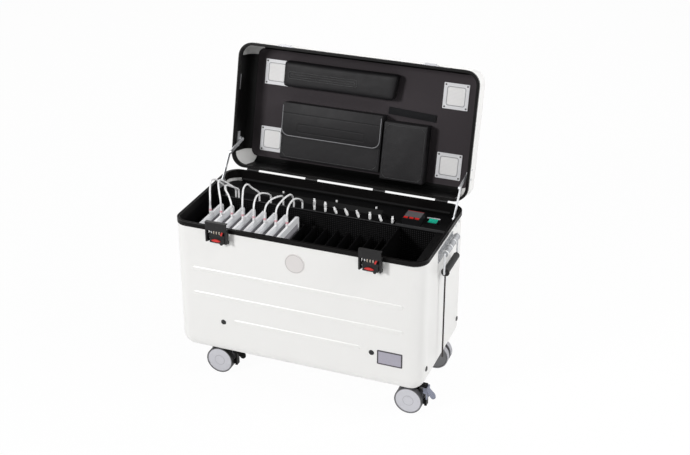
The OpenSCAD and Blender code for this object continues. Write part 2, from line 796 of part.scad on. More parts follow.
// Plan of the rear housing, drawn in by d; its left rear corner is cut off.
module house2d(d) {
  x1 = in_l / 2 - 2.2 - d;
  intersection() {
    inside2d(2.1 + d);
    polygon([[-x1, house_y + d], [x1, house_y + d], [x1, in_w], [-x1 + 42, in_w], [-x1, 152 - d]]);
  }
}

// Plan of the cable tray's floor, with its slanted right end.
module tray2d() {
  x1 = in_l / 2 - 5.2;
  polygon([[-x1, house_y + 3], [tray_x1, house_y + 3], [tray_x1, 108], [tray_x1 - 61, 141],
    [-x1 + 10, 141], [-x1, 131]]);
}

module rear_housing() {
  zf = zb - body_h + corner_r + 4;
  color([0.08, 0.08, 0.08]) difference() {
    translate([0, 0, zf]) linear_extrude(deck_z - zf) house2d(0);
    translate([0, 0, zf + 2]) linear_extrude(tray_z - zf - 4) house2d(2);
    translate([0, 0, tray_z]) linear_extrude(60) tray2d();
    translate([12 - in_l / 2, 0, 0]) rotate([90, 0, 90]) linear_extrude(tray_x1 - 73 + in_l / 2)
      polygon([[139, tray_z], [141, tray_z], [141 + deck_z - tray_z + 1, deck_z + 1], [139, deck_z + 1]]);
    box(-in_l, tray_x1 + 3, house_y - 1, house_y + 4, lip_z, deck_z + 1);
  }
}

module power_module() {
  x = half_l - 168;
  color([0.15, 0.15, 0.16]) difference() {
    union() {
      box(x, x + module_l, 90, 148, deck_z, deck_z + 20);
      box(rocker_x, rocker_x + rocker_w + 4, rocker_y - 14, rocker_y + 14, deck_z, deck_z + 4.2);
    }
    for (i = [0:2]) translate([x + 10 + i * 18, 97, deck_z + 15]) plate(13.6, 8.6, 1.5, 8);
    box(rocker_x + 2, rocker_x + 2 + rocker_w, rocker_y - 12, rocker_y + 12, deck_z - 1, deck_z + 5);
    bar_x(rocker_x + 0.6, rocker_x + rocker_w + 3.4, rocker_y, deck_z + rocker_z, 1.2 + run_fit);
  }
}

module module_button(i) {
  color("red") translate([half_l - 158 + i * 18, 97, deck_z + 17]) plate(13, 8, 1.2, 5);
}

// Rocker with a hollow top, tipped to the front about its two stub pins.
module rocker() {
  color([0.05, 0.6, 0.45]) translate([rocker_x + 2.3, rocker_y, deck_z + rocker_z]) rotate([7, 0, 0]) {
    rotate([90, 0, 90]) linear_extrude(rocker_w - 0.6)
      polygon([[-10.8, -0.3], [0, -1.6], [10.8, -0.3], [10.8, 4.4], [0, 2.8], [-10.8, 4.4]]);
    bar_x(-1.5, rocker_w + 0.9, 0, 0, 1.2);
  }
}

module tablets() {
  for (i = [0:tabs - 1]) translate([slot_x0 + i * slot_pitch - tab_t / 2, slot_y, floor_z + tab_h / 2])
    rotate([90, 0, 90]) {
      color([0.9, 0.9, 0.92]) difference() {
        plate(tab_w, tab_h, tab_r, tab_t);
        translate([0, 0, tab_t - 0.6]) plate(tab_w - 21, tab_h - 44, 2, 1);
      }
    }
}

// CONNECTORS AND LEADS

module connectors() {
  color("white") {
    for (i = [0:tabs - 1]) translate([slot_x0 + i * slot_pitch, slot_y, lip_z]) {
      cylinder(h = 13, r1 = 4.4, r2 = 4.2);
      translate([0, 0, 13]) cylinder(h = 2.5, r = 4.3);
      translate([0, 0, 15.5]) cylinder(h = 12.5, r1 = 3.8, r2 = lead_d / 2 + 0.5);
    }
    for (i = [0:spares - 1]) translate([tray_x1 - 14 - i * spare_go, 104, tray_z + 3.9])
      rotate([0, spare_lean[i % 8], 0]) {
        sphere(3.9);
        cylinder(h = spare_h[i % 8], r1 = 3.9, r2 = 4.4);
        translate([-3.3, -0.8, spare_h[i % 8]]) cube([6.6, 1.6, 7]);
      }
  }
}

// Lean and height of each spare plug, from the right.
spare_lean = [0, -20, 0, -20, -24, -24, 0, 0];
spare_h = [14, 13, 15, 15, 15, 14, 25, 30];

// Round tube swept along points by a parallel-carried section.
function unit(v) = v / norm(v);
function side_of(t) = unit(cross(t, abs(t[0]) < 0.9 ? [1, 0, 0] : [0, 1, 0]));
function tangent(p, i) = unit(p[min(i + 1, len(p) - 1)] - p[max(i - 1, 0)]);
function carry(p, i, s) = let (t = tangent(p, i)) unit(s - t * (s * t));
function sections(p, i = 0, s = undef) = let (c = i == 0 ? side_of(tangent(p, 0)) : carry(p, i, s))
  i == len(p) - 1 ? [c] : concat([c], sections(p, i + 1, c));

module tube(p, r, n) {
  s = sections(p);
  pts = [for (i = [0:len(p) - 1]) let (t = tangent(p, i), b = cross(t, s[i]))
    for (k = [0:n - 1]) p[i] + r * (cos(360 * k / n) * s[i] + sin(360 * k / n) * b)];
  m = len(p);
  walls = [for (i = [0:m - 2]) for (k = [0:n - 1])
    [i * n + k, i * n + (k + 1) % n, (i + 1) * n + (k + 1) % n, (i + 1) * n + k]];
  ends = [[for (k = [n - 1:-1:0]) k], [for (k = [0:n - 1]) (m - 1) * n + k]];
  polyhedron(pts, [for (f = concat(walls, ends)) [for (j = [len(f) - 1:-1:0]) f[j]]], convexity = 8);
}

// Smooth curve through the route points, n steps in each span.
function knot(q, i) = q[max(0, min(len(q) - 1, i))];
function smooth(q, n) = concat([for (i = [0:len(q) - 2]) for (j = [0:n - 1])
  let (t = j / n, a = knot(q, i - 1), b = q[i], c = q[i + 1], d = knot(q, i + 2))
    0.5 * (2 * b + t * (c - a) + t * t * (2 * a - 5 * b + 4 * c - d) + t * t * t * (3 * b - a - 3 * c + d))],
  [q[len(q) - 1]]);

// Routes: side shift from the slot, Y, and height above the white edge.
lead_mid = [
  [[0, -44, 20], [-9, -24, 43], [-22, 10, 53], [-22, 40, 46], [-20, 72, 20], [-18, 98, -4]],
  [[-1, -44, 20], [-15, -24, 44], [-33, 10, 54], [-37, 38, 48], [-29, 70, 22], [-20, 98, -4]],
  [[-2, -44, 16], [-18, -28, 34], [-42, -1, 40], [-52, 28, 38], [-53, 60, 20], [-47, 97, -4]],
  [[-1, -44, 18], [-7, -28, 38], [-18, 4, 50], [-20, 34, 50], [-18, 66, 24], [-12, 98, -4]],
  [[0, -44, 14], [-3, -31, 28], [-8, -2, 34], [-8, 28, 30], [-4, 60, 16], [-8, 97, -7]],
  [[0, -43, 12], [-1, -28, 23], [-1, 4, 25], [5, 34, 23], [9, 64, 14], [-1, 97, -7]],
  [[0, -43, 13], [0, -29, 26], [2, 4, 32], [6, 34, 34], [5, 64, 24], [-3, 97, -5]],
  [[0, -43, 13], [-3, -28, 26], [-7, 2, 30], [-7, 32, 28], [-8, 64, 14], [-11, 97, -7]]];
lead_end = [-18, -20, -47, -12, -9, -3, -4, -12];

function lead_route(i) = let (x = slot_x0 + i * slot_pitch) concat(
  [[x, slot_y, lip_z + 31]],
  [for (q = lead_mid[i]) [x + q[0], q[1], zb + q[2]]],
  [[x + lead_end[i], 104, tray_z + 18], [x + lead_end[i], 104, tray_z + 5]]);
function lead_line(i) = let (x = slot_x0 + i * slot_pitch) concat(
  [[x, slot_y, lip_z + 28]], smooth(lead_route(i), 4), [[x + lead_end[i], 104, tray_z]]);

module leads() {
  color("white") for (i = [0:tabs - 1]) tube(lead_line(i), lead_d / 2, 8);
}

// PLUGS, PLATES

module plugs_and_plates() {
  color([0.1, 0.1, 0.1]) for (s = [-1, 1]) {
    translate([s * (latch_x - 0.5), -half_w + skin, zb - 312]) rotate([90, 0, 0]) {
      cylinder(h = 2.2, r1 = plug_d / 2, r2 = plug_d / 2 - 1.5);
      translate([0, 0, -3.5]) cylinder(h = 3.6, r = 4.5);
    }
    for (y = [48.5 - half_w, half_w - 48.5]) translate([s * (half_l - skin), y, zb - 361]) rotate([0, 90 * s, 0]) {
      cylinder(h = 2.2, r1 = plug_d / 2, r2 = plug_d / 2 - 1.5);
      translate([0, 0, -3.5]) cylinder(h = 3.6, r = 4.5);
    }
  }
  color([0.85, 0.85, 0.87]) {
    translate([0, -half_w + skin, zb - 61]) rotate([90, 0, 0]) cylinder(h = 1.6, r1 = badge_d / 2, r2 = badge_d / 2 - 1);
    translate([half_l - 100.5, -half_w + skin, zb - 322]) rotate([90, 0, 0]) plate(rate_l, rate_h, 3, 1);
    box(half_l - 108, half_l - 66, 152, 160, deck_z, deck_z + 0.6);
    for (x = [tray_x1 - 403, tray_x1 - 220, tray_x1 - 87]) translate([x, 160, deck_z]) cylinder(h = 5, r = 3);
  }
}

placed() case_shell();
placed() case_rim();
placed() lid_shell();
placed() lid_rim();
placed() lid_lining();
placed() vent_frames();
placed() vent_filters();
placed() pouch_roll();
placed() pouch_main();
placed() pouch_side();
placed() elastic_band();
placed() hinge_case();
placed() hinge_lid();
placed() catch_plates();
placed() latch_bases();
placed() latch_flap(-1);  // latch_flap_l
placed() latch_flap(1);  // latch_flap_r
placed() latch_button(-1);  // latch_button_l
placed() latch_button(1);  // latch_button_r
placed() dial(-1, 0);  // dial_l1
placed() dial(-1, 1);  // dial_l2
placed() dial(-1, 2);  // dial_l3
placed() dial(1, 0);  // dial_r1
placed() dial(1, 1);  // dial_r2
placed() dial(1, 2);  // dial_r3
placed() handle_brackets();
placed() bail_l();
placed() bail_r();
placed() grip_l();
placed() grip_r();
placed() pull_cord();
placed() castor_plates();
placed() castor_fork_fl();
placed() castor_fork_fr();
placed() castor_fork_rl();
placed() castor_fork_rr();
placed() wheels_fl();
placed() wheels_fr();
placed() wheels_rl();
placed() wheels_rr();
placed() pedal_fl();
placed() pedal_fr();
placed() stay_case_brackets();
placed() stay_lid_brackets();
placed() stay_lower_l();
placed() stay_lower_r();
placed() stay_upper_l();
placed() stay_upper_r();
placed() liner();
placed() slot_dividers();
placed() rear_housing();
placed() power_module();
placed() module_button(0);  // module_button_1
placed() module_button(1);  // module_button_2
placed() module_button(2);  // module_button_3
placed() rocker();
placed() tablets();
placed() connectors();
placed() leads();
placed() plugs_and_plates();
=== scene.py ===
"""Looks of the wheeled tablet charging case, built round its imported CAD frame."""

import logging
import math
from dataclasses import dataclass, field
from enum import Enum
from typing import Sequence, Union

import bmesh
import bpy
from mathutils import Matrix, Vector

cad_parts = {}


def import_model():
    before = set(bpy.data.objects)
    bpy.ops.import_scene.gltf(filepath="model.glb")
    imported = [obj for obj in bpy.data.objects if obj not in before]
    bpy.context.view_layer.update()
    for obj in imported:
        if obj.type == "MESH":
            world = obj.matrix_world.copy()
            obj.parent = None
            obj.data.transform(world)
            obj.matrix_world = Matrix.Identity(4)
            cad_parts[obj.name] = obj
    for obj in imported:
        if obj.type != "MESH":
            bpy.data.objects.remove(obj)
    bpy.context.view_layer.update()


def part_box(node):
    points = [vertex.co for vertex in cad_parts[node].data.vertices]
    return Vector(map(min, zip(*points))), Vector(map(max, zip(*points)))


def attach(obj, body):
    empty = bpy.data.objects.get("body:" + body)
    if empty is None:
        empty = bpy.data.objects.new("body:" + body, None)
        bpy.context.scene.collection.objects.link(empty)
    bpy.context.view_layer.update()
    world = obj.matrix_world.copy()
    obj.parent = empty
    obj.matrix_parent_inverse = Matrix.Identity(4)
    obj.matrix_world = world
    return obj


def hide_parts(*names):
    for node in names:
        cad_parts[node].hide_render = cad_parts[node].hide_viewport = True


log = logging.getLogger("tablet_case")

MM = 0.001
# Case millimetres: x from the middle to the right, y behind the middle, z above the floor.
EDGE = 538.0  # the body shell's upper edge
LID_OPEN = math.radians(104.3)
AXIS_Y, AXIS_Z = 207.5, EDGE + 14.7  # the hinge line
PANEL = EDGE + 119.0  # face of the lid's lining, with the lid shut
LIP = EDGE - 30.0  # top of the tablets
TRAY = EDGE - 37.0  # floor of the cable tray
DECK = EDGE - 24.0  # top of the rear housing
FRONT_Y = -202.0  # the body's front face
SLOT_X, SLOT_Y, PITCH = -350.0, -45.5, 37.0  # first slot, its plug and the slots' pitch
TRAY_Y = 104.0  # middle of the tray
BEAD_SIDES = 8

Number = Union["Term", float]
Point = tuple[float, float, float]
Colour = tuple[float, float, float]


def middle_y() -> float:
    """Y of the case's middle in the row frame, in millimetres."""
    low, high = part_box("case_rim")
    return (low.y + high.y) / 2 / MM


def place(x: float, y: float, z: float) -> Vector:
    """Puts a point of the case, in millimetres about its middle, into the row frame.

    Args:
        x: distance to the right of the middle.
        y: distance behind the middle.
        z: height above the floor.

    Returns:
        The point in metres.
    """
    return Vector((x, y + middle_y(), z)) * MM


def case_matrix() -> Matrix:
    """Matrix from case millimetres to the row frame."""
    return Matrix.Translation((0, middle_y() * MM, 0)) @ Matrix.Scale(MM, 4)


def lid_matrix() -> Matrix:
    """Matrix from shut-lid millimetres to the open lid in the row frame."""
    axis = Matrix.Translation((0, AXIS_Y, AXIS_Z))
    return case_matrix() @ axis @ Matrix.Rotation(-LID_OPEN, 4, "X") @ axis.inverted()


# ---------------------------------------------------------------- shader maths


class Term:
    """A number socket of a material, with operators that add Math nodes."""

    def __init__(self, graph: "Graph", socket: bpy.types.NodeSocket) -> None:
        """Keeps the socket and the graph that it belongs to."""
        self.graph = graph
        self.socket = socket

    def _math(self, operation: str, *values: Number) -> "Term":
        """Adds one Math node.

        Args:
            operation: the node's operation.
            values: its inputs, in order.

        Returns:
            The node's result.
        """
        inputs = {i: v for i, v in enumerate(values)}
        return Term(self.graph, self.graph.add("ShaderNodeMath", {"operation": operation}, inputs).outputs[0])

    def __add__(self, other: Number) -> "Term":
        """Sum."""
        return self._math("ADD", self, other)

    __radd__ = __add__

    def __mul__(self, other: Number) -> "Term":
        """Product."""
        return self._math("MULTIPLY", self, other)

    __rmul__ = __mul__

    def __sub__(self, other: Number) -> "Term":
        """Difference."""
        return self._math("SUBTRACT", self, other)

    def __rsub__(self, other: Number) -> "Term":
        """Difference from a number."""
        return self._math("SUBTRACT", other, self)

    def __truediv__(self, other: Number) -> "Term":
        """Quotient."""
        return self._math("DIVIDE", self, other)

    def __abs__(self) -> "Term":
        """Size without sign."""
        return self._math("ABSOLUTE", self)

    def __lt__(self, other: Number) -> "Term":
        """One where this is less, else nought."""
        return self._math("LESS_THAN", self, other)

    def __gt__(self, other: Number) -> "Term":
        """One where this is more, else nought."""
        return self._math("GREATER_THAN", self, other)

    def __pow__(self, other: Number) -> "Term":
        """Power."""
        return self._math("POWER", self, other)

    def larger(self, other: Number) -> "Term":
        """The larger of two."""
        return self._math("MAXIMUM", self, other)

    def smaller(self, other: Number) -> "Term":
        """The smaller of two."""
        return self._math("MINIMUM", self, other)

    def sine(self) -> "Term":
        """Sine of an angle in radians."""
        return self._math("SINE", self)

    def root(self) -> "Term":
        """Square root."""
        return self._math("SQRT", self)

    def repeat(self, step: float) -> "Term":
        """Distance from the middle of the repeat that the value lies in.

        Args:
            step: length of one repeat.

        Returns:
            A value from -step / 2 to step / 2.
        """
        return self - self._math("ROUND", self / step) * step

    def ramp(self, low: float, high: float) -> "Term":
        """Rises from nought at low to one at high, smoothly.

        Args:
            low: value at which the rise starts.
            high: value at which it ends.

        Returns:
            A value from nought to one.
        """
        settings = {"interpolation_type": "SMOOTHSTEP"}
        inputs = {"Value": self, "From Min": low, "From Max": high}
        return Term(self.graph, self.graph.add("ShaderNodeMapRange", settings, inputs).outputs[0])


class Graph:
    """Node tree of one material, ending in a Principled shader."""

    def __init__(self, name: str) -> None:
        """Makes the material and empties its tree.

        Args:
            name: the material's name.
        """
        self.material = bpy.data.materials.new(name)
        self.material.use_nodes = True
        self.tree = self.material.node_tree
        self.tree.nodes.clear()
        self.shader = self.add("ShaderNodeBsdfPrincipled", {}, {})
        self.add("ShaderNodeOutputMaterial", {}, {"Surface": self.shader.outputs[0]})
        self._coords: bpy.types.NodeSocket | None = None

    def add(self, kind: str, settings: dict, inputs: dict) -> bpy.types.Node:
        """Adds a node.

        Args:
            kind: the node's type.
            settings: attributes, set first.
            inputs: values or links by socket name or number.

        Returns:
            The node.
        """
        node = self.tree.nodes.new(kind)
        for key, value in settings.items():
            setattr(node, key, value)
        for key, value in inputs.items():
            if isinstance(value, Term):
                value = value.socket
            if isinstance(value, bpy.types.NodeSocket):
                self.tree.links.new(value, node.inputs[key])
            else:
                node.inputs[key].default_value = value
        return node

    def coords(self) -> bpy.types.NodeSocket:
        """Object coordinates in metres.

        Returns:
            The coordinates, from one node for the whole material.
        """
        if self._coords is None:
            self._coords = self.add("ShaderNodeTexCoord", {}, {}).outputs["Object"]
        return self._coords

    def axes(self) -> tuple[Term, Term, Term]:
        """X, Y and Z of the point, in millimetres."""
        node = self.add("ShaderNodeSeparateXYZ", {}, {0: self.coords()})
        return tuple(Term(self, s) * 1000.0 for s in node.outputs)

    def lid_axes(self) -> tuple[Term, Term, Term]:
        """X, Y and Z of a point on the lid as they are with the lid shut, in case millimetres.

        Returns:
            The three coordinates.
        """
        x, y, z = self.axes()
        y, z = y - (middle_y() + AXIS_Y), z - AXIS_Z
        c, s = math.cos(LID_OPEN), math.sin(LID_OPEN)
        return x, y * c - z * s + AXIS_Y, y * s + z * c + AXIS_Z

    def outline(self, u: Term, v: Term, seam: "Seam") -> Term:
        """One on the line round a rounded rectangle, else nought.

        Args:
            u: first coordinate in millimetres.
            v: second coordinate in millimetres.
            seam: the rectangle and the line's width.

        Returns:
            The line's strength.
        """
        du = abs(u - (seam.left + seam.right) / 2) - ((seam.right - seam.left) / 2 - seam.corner)
        dv = abs(v - (seam.low + seam.high) / 2) - ((seam.high - seam.low) / 2 - seam.corner)
        outside = (du.larger(0.0) ** 2.0 + dv.larger(0.0) ** 2.0).root()
        far = outside + du.larger(dv).smaller(0.0) - seam.corner
        return abs(far).ramp(seam.width, seam.width * 0.4)

    def stretched(self, scale: Point) -> bpy.types.NodeSocket:
        """Object coordinates stretched, for brushed or lined patterns."""
        return self.add("ShaderNodeMapping", {}, {"Vector": self.coords(), "Scale": scale}).outputs[0]

    def noise(self, size_mm: float, detail: float = 2.0, vector: bpy.types.NodeSocket | None = None) -> Term:
        """Cloudy noise from nought to one.

        Args:
            size_mm: size of one cloud.
            detail: octaves.
            vector: coordinates in metres, or none for Object coordinates.

        Returns:
            The noise.
        """
        inputs = {"Vector": vector or self.coords(), "Scale": 1000.0 / size_mm, "Detail": detail}
        return Term(self, self.add("ShaderNodeTexNoise", {}, inputs).outputs[0])

    def cells(self, size_mm: float) -> Term:
        """Distance within leather-like cells of one size."""
        inputs = {"Vector": self.coords(), "Scale": 1000.0 / size_mm}
        return Term(self, self.add("ShaderNodeTexVoronoi", {}, inputs).outputs[0])

    def mix(self, factor: Number, first: object, second: object) -> bpy.types.NodeSocket:
        """Mixes two colours, first at nought and second at one."""
        inputs = {0: factor, 6: _colour(first), 7: _colour(second)}
        return self.add("ShaderNodeMix", {"data_type": "RGBA"}, inputs).outputs[2]

    def bump(self, height: Number, depth_mm: float,
             under: bpy.types.NodeSocket | None = None) -> bpy.types.NodeSocket:
        """Relief of one depth, laid on another relief if given.

        Args:
            height: height of the relief, from nought to one.
            depth_mm: its full depth.
            under: the relief that it lies on.

        Returns:
            The bent normal.
        """
        inputs = {"Height": height, "Distance": depth_mm * MM, "Strength": 1.0}
        if under is not None:
            inputs["Normal"] = under
        return self.add("ShaderNodeBump", {}, inputs).outputs[0]

    def dress(self, **sockets: object) -> bpy.types.Material:
        """Sets or links the shader's sockets, named with underscores for blanks.

        Args:
            sockets: a value or a link for each socket.

        Returns:
            The material.
        """
        for key, value in sockets.items():
            name = key.replace("_", " ").title().replace("Ior", "IOR")
            if isinstance(value, Term):
                value = value.socket
            if isinstance(value, bpy.types.NodeSocket):
                self.tree.links.new(value, self.shader.inputs[name])
            else:
                self.shader.inputs[name].default_value = _colour(value) if isinstance(value, tuple) else value
        return self.material


def tint(colour: Colour, factor: float, lift: float = 0.0) -> Colour:
    """A colour made darker or lighter by a factor, then lifted."""
    return tuple(c * factor + lift for c in colour)


def _colour(value: object) -> object:
    """A colour of three numbers with its alpha, and anything else as it is."""
    return (*value, 1.0) if isinstance(value, tuple) and len(value) == 3 else value


# ---------------------------------------------------------------- finishes


@dataclass(frozen=True)
class Seam:
    """Stitched or ruled line round a rounded rectangle."""

    left: float
    right: float
    low: float
    high: float
    corner: float = 6.0
    width: float = 1.2


@dataclass(frozen=True)
class Coating:
    """A named finish, which lays itself on a material's shader."""

    name: str

    def lay(self, g: Graph) -> None:
        """Lays the finish on a material's shader."""
        raise NotImplementedError

    def material(self) -> bpy.types.Material:
        """The finish as a material.

        Returns:
            The new material.
        """
        g = Graph(self.name)
        self.lay(g)
        return g.material


@dataclass(frozen=True)
class MouldedPlastic(Coating):
    """Injection-moulded plastic with a faint orange-peel skin."""

    colour: Colour
    rough: float = 0.35
    peel_mm: float = 1.6
    depth_mm: float = 0.03
    cloud: float = 0.04
    specular: float = 0.5

    def lay(self, g: Graph) -> None:
        """Lays the finish on a material's shader.

        Args:
            g: the material's graph.
        """
        cloud = g.noise(60, 3)
        dull = tint(self.colour, 1 - self.cloud)
        rough = self.rough + (g.noise(9, 3) - 0.5) * 0.12
        relief = g.bump(g.noise(self.peel_mm, 2), self.depth_mm)
        g.dress(base_color=g.mix(cloud, dull, self.colour), roughness=rough, normal=relief,
                       specular_ior_level=self.specular)


@dataclass(frozen=True)
class DrawnProfile(Coating):
    """Black anodised profile with faint draw lines along its length."""

    colour: Colour = (0.0045, 0.004, 0.004)
    rough: float = 0.36

    def lay(self, g: Graph) -> None:
        """Lays the finish on a material's shader.

        Args:
            g: the material's graph.
        """
        lines = g.noise(0.5, 2, g.stretched((0.03, 0.03, 1)))
        wear = g.noise(25, 4).ramp(0.55, 0.8)
        grey = tint(self.colour, 2.0, 0.003)
        relief = g.bump(lines, 0.02)
        g.dress(
            base_color=g.mix(wear * 0.5, self.colour, grey),
            roughness=self.rough + (lines - 0.5) * 0.2,
            normal=relief,
            specular_ior_level=0.12,
        )


@dataclass(frozen=True)
class PlatedSteel(Coating):
    """Satin zinc plate with rolling lines and cloudy spangle."""

    colour: Colour = (0.62, 0.63, 0.65)
    rough: float = 0.36
    lines: Point = (1, 0.04, 1)
    metallic: float = 0.7

    def lay(self, g: Graph) -> None:
        """Lays the finish on a material's shader.

        Args:
            g: the material's graph.
        """
        brush = g.noise(0.6, 3, g.stretched(self.lines))
        cloud = g.noise(12, 3)
        dark = tint(self.colour, 0.82)
        g.dress(
            base_color=g.mix(cloud, dark, self.colour),
            roughness=self.rough + (brush - 0.5) * 0.22,
            metallic=self.metallic,
            normal=g.bump(brush, 0.02),
        )


@dataclass(frozen=True)
class ScrewedPlate(Coating):
    """Pale satin vent plates in the lid, each with dark screws and a dark line round its opening."""

    screw_z: float
    spot: Point = (304.0, 5.0, 111.0)
    opening: Seam = Seam(-29.5, 29.5, -29.5, 29.5, 6.0, 1.5)
    dark: Colour = (0.05, 0.05, 0.05)
    colour: Colour = (0.8, 0.8, 0.82)

    def lay(self, g: Graph) -> None:
        """Lays the finish on a material's shader.

        Args:
            g: the material's graph.
        """
        x, y, z = g.lid_axes()
        screw = z < self.screw_z
        line = g.outline(abs(x) - self.spot[0], abs(y - self.spot[1]) - self.spot[2], self.opening)
        brush = g.noise(0.7, 3, g.stretched((0.05, 1, 1)))
        cloud = g.noise(10, 3)
        plate = g.mix(cloud, tint(self.colour, 0.86), self.colour)
        g.dress(
            base_color=g.mix(screw.larger(line * 0.7), plate, self.dark),
            roughness=0.42 + (brush - 0.5) * 0.2,
            metallic=0.1,
            normal=g.bump(brush, 0.02),
        )


@dataclass(frozen=True)
class PowderCoat(Coating):
    """Black coating on sheet metal, slightly pebbled, rubbed grey in patches."""

    colour: Colour = (0.008, 0.0075, 0.008)
    rough: float = 0.42

    def lay(self, g: Graph) -> None:
        """Lays the finish on a material's shader.

        Args:
            g: the material's graph.
        """
        pebble = g.noise(0.9, 2)
        rub = g.noise(14, 4).ramp(0.58, 0.8)
        grey = tint(self.colour, 2.0, 0.006)
        g.dress(
            base_color=g.mix(rub * 0.6, self.colour, grey),
            roughness=self.rough + (pebble - 0.5) * 0.15,
            normal=g.bump(pebble, 0.05),
            specular_ior_level=0.3,
        )


@dataclass(frozen=True)
class Leathercloth(Coating):
    """Soft coated cloth with a fine pebble grain."""

    colour: Colour = (0.0075, 0.007, 0.0078)
    grain_mm: float = 1.3
    rough: float = 0.5
    seams: tuple[Seam, ...] = ()
    front: float = 0.0
    stitch_mm: float = 3.2
    lit_mm: float = 1.9

    def lay(self, g: Graph) -> None:
        """Lays the finish on a material's shader.

        Args:
            g: the material's graph.
        """
        grain = g.cells(self.grain_mm).ramp(0.1, 0.75)
        slack = g.noise(28, 3)
        light = tint(self.colour, 1.7, 0.003)
        tone = g.mix(grain * 0.5 + slack * 0.3, light, self.colour)
        relief = g.bump(grain, 0.1, g.bump(slack, 0.9))
        if self.seams:
            x, y, z = g.lid_axes()
            sewn = lit = None
            for seam in self.seams:
                line = g.outline(x, y, seam) * (z < self.front)
                edge = g.outline(x, y - self.lit_mm, seam) * (z < self.front)
                sewn = line if sewn is None else sewn.larger(line)
                lit = edge if lit is None else lit.larger(edge)
            stitch = ((x + y) * (2 * math.pi / self.stitch_mm)).sine().ramp(-0.4, 0.2)
            tone = g.mix(lit * 0.7, tone, (0.035, 0.035, 0.037))
            tone = g.mix(sewn * 0.85, tone, (0.001, 0.001, 0.001))
            tone = g.mix(sewn * stitch * 0.25, tone, (0.07, 0.07, 0.072))
            relief = g.bump(1 - sewn, 1.2, relief)
        g.dress(
            base_color=tone,
            roughness=self.rough + (slack - 0.5) * 0.14 + grain * 0.05,
            normal=relief,
            specular_ior_level=0.22,
        )


@dataclass(frozen=True)
class Felt(Coating):
    """Short-fibred felt on the lid's panel, black skin on the coves round it."""

    colour: Colour
    skin: Colour = (0.003, 0.003, 0.003)

    def lay(self, g: Graph) -> None:
        """Lays the finish on a material's shader.

        Args:
            g: the material's graph.
        """
        fibre = g.noise(0.8, 4)
        patch = g.noise(45, 3)
        panel = abs(g.lid_axes()[2] - PANEL) < 0.4
        light = tint(self.colour, 1.4)
        dark = tint(self.colour, 0.75)
        tone = g.mix(patch * 0.35, g.mix(fibre, dark, light), self.colour)
        g.dress(
            base_color=g.mix(panel, self.skin, tone),
            roughness=0.45 + panel * 0.42 - patch * 0.1,
            normal=g.bump(fibre, 0.2),
            specular_ior_level=0.12,
        )


@dataclass(frozen=True)
class Webbing(Coating):
    """Woven tape: ribs across it at a fixed pitch."""

    colour: Colour = (0.009, 0.009, 0.01)
    pitch_mm: float = 1.6

    def lay(self, g: Graph) -> None:
        """Lays the finish on a material's shader.

        Args:
            g: the material's graph.
        """
        x, _, z = g.axes()
        rib = (x * (2 * math.pi / self.pitch_mm)).sine() * 0.5 + 0.5
        pick = (z * (2 * math.pi / (self.pitch_mm * 0.7))).sine() * 0.5 + 0.5
        light = tint(self.colour, 2.4)
        g.dress(
            base_color=g.mix(rib * pick, self.colour, light),
            roughness=0.75 + rib * 0.1,
            normal=g.bump(rib * pick, 0.2),
            specular_ior_level=0.15,
        )


@dataclass(frozen=True)
class FilterMat(Coating):
    """White filter mat with fine ribs across it."""

    colour: Colour = (1.0, 0.99, 0.985)
    rib_mm: float = 4.2

    def lay(self, g: Graph) -> None:
        """Lays the finish on a material's shader.

        Args:
            g: the material's graph.
        """
        _, y, _ = g.lid_axes()
        line = abs(y.repeat(self.rib_mm)).ramp(1.2, 1.8)
        g.dress(
            base_color=g.mix(line, self.colour, tint(self.colour, 0.91)),
            roughness=0.5 + g.noise(7, 2) * 0.2,
            normal=g.bump(1 - line, 0.06),
        )


@dataclass(frozen=True)
class WheelPlastic(Coating):
    """Castor wheel: disc, dark rim ring, tread band and hub ring, by radius."""

    centre: Point
    tread: Colour
    disc: Colour = (0.6, 0.6, 0.64)
    rim_mm: float = 40.5
    hub_mm: float = 16.5

    def lay(self, g: Graph) -> None:
        """Lays the finish on a material's shader.

        Args:
            g: the material's graph.
        """
        x, _, z = g.axes()
        dx, dz = x - self.centre[0], z - self.centre[2]
        radius = (dx * dx + dz * dz).root()
        band = radius.ramp(self.rim_mm + 0.8, self.rim_mm + 1.4)
        hub = abs(radius - self.hub_mm).ramp(1.2, 0.4)
        ring = hub.larger(abs(radius - self.rim_mm).ramp(1.3, 0.8) * 2.0)
        grime = g.noise(6, 4)
        tone = g.mix(ring * 0.45, self.disc, tint(self.disc, 0.3))
        wear_and_highlight = g.mix(grime * 0.12, tone, tint(self.disc, 0.6))
        g.dress(
            base_color=g.mix(band, wear_and_highlight, self.tread),
            roughness=0.45 + grime * 0.2,
            normal=g.bump(g.noise(1.2, 2), 0.04),
        )


@dataclass(frozen=True)
class TabletCase(Coating):
    """Tablet: pale enamelled shell and border, plain grey screen."""

    screen_y: tuple[float, float]
    screen_z: tuple[float, float]
    screen: Colour = (0.42, 0.41, 0.44)

    def lay(self, g: Graph) -> None:
        """Lays the finish on a material's shader.

        Args:
            g: the material's graph.
        """
        _, y, z = g.axes()
        spans = ((y, *self.screen_y), (z, *self.screen_z))
        across, up = (abs(v - (low + high) / 2) < (high - low) / 2 for v, low, high in spans)
        normal = g.add("ShaderNodeNewGeometry", {}, {}).outputs["True Normal"]
        side = g.add("ShaderNodeSeparateXYZ", {}, {0: normal})
        glass = across * up * (Term(g, side.outputs[0]) > 0.7)
        smear = g.noise(30, 3)
        mottle = g.noise(5, 3)
        shell = g.mix(mottle, (0.93, 0.94, 0.965), (0.98, 0.985, 1.0))
        g.dress(
            base_color=g.mix(glass, shell, self.screen),
            roughness=0.28 - glass * 0.1 + smear * 0.12,
            normal=g.bump(g.noise(0.7, 2), 0.01),
        )


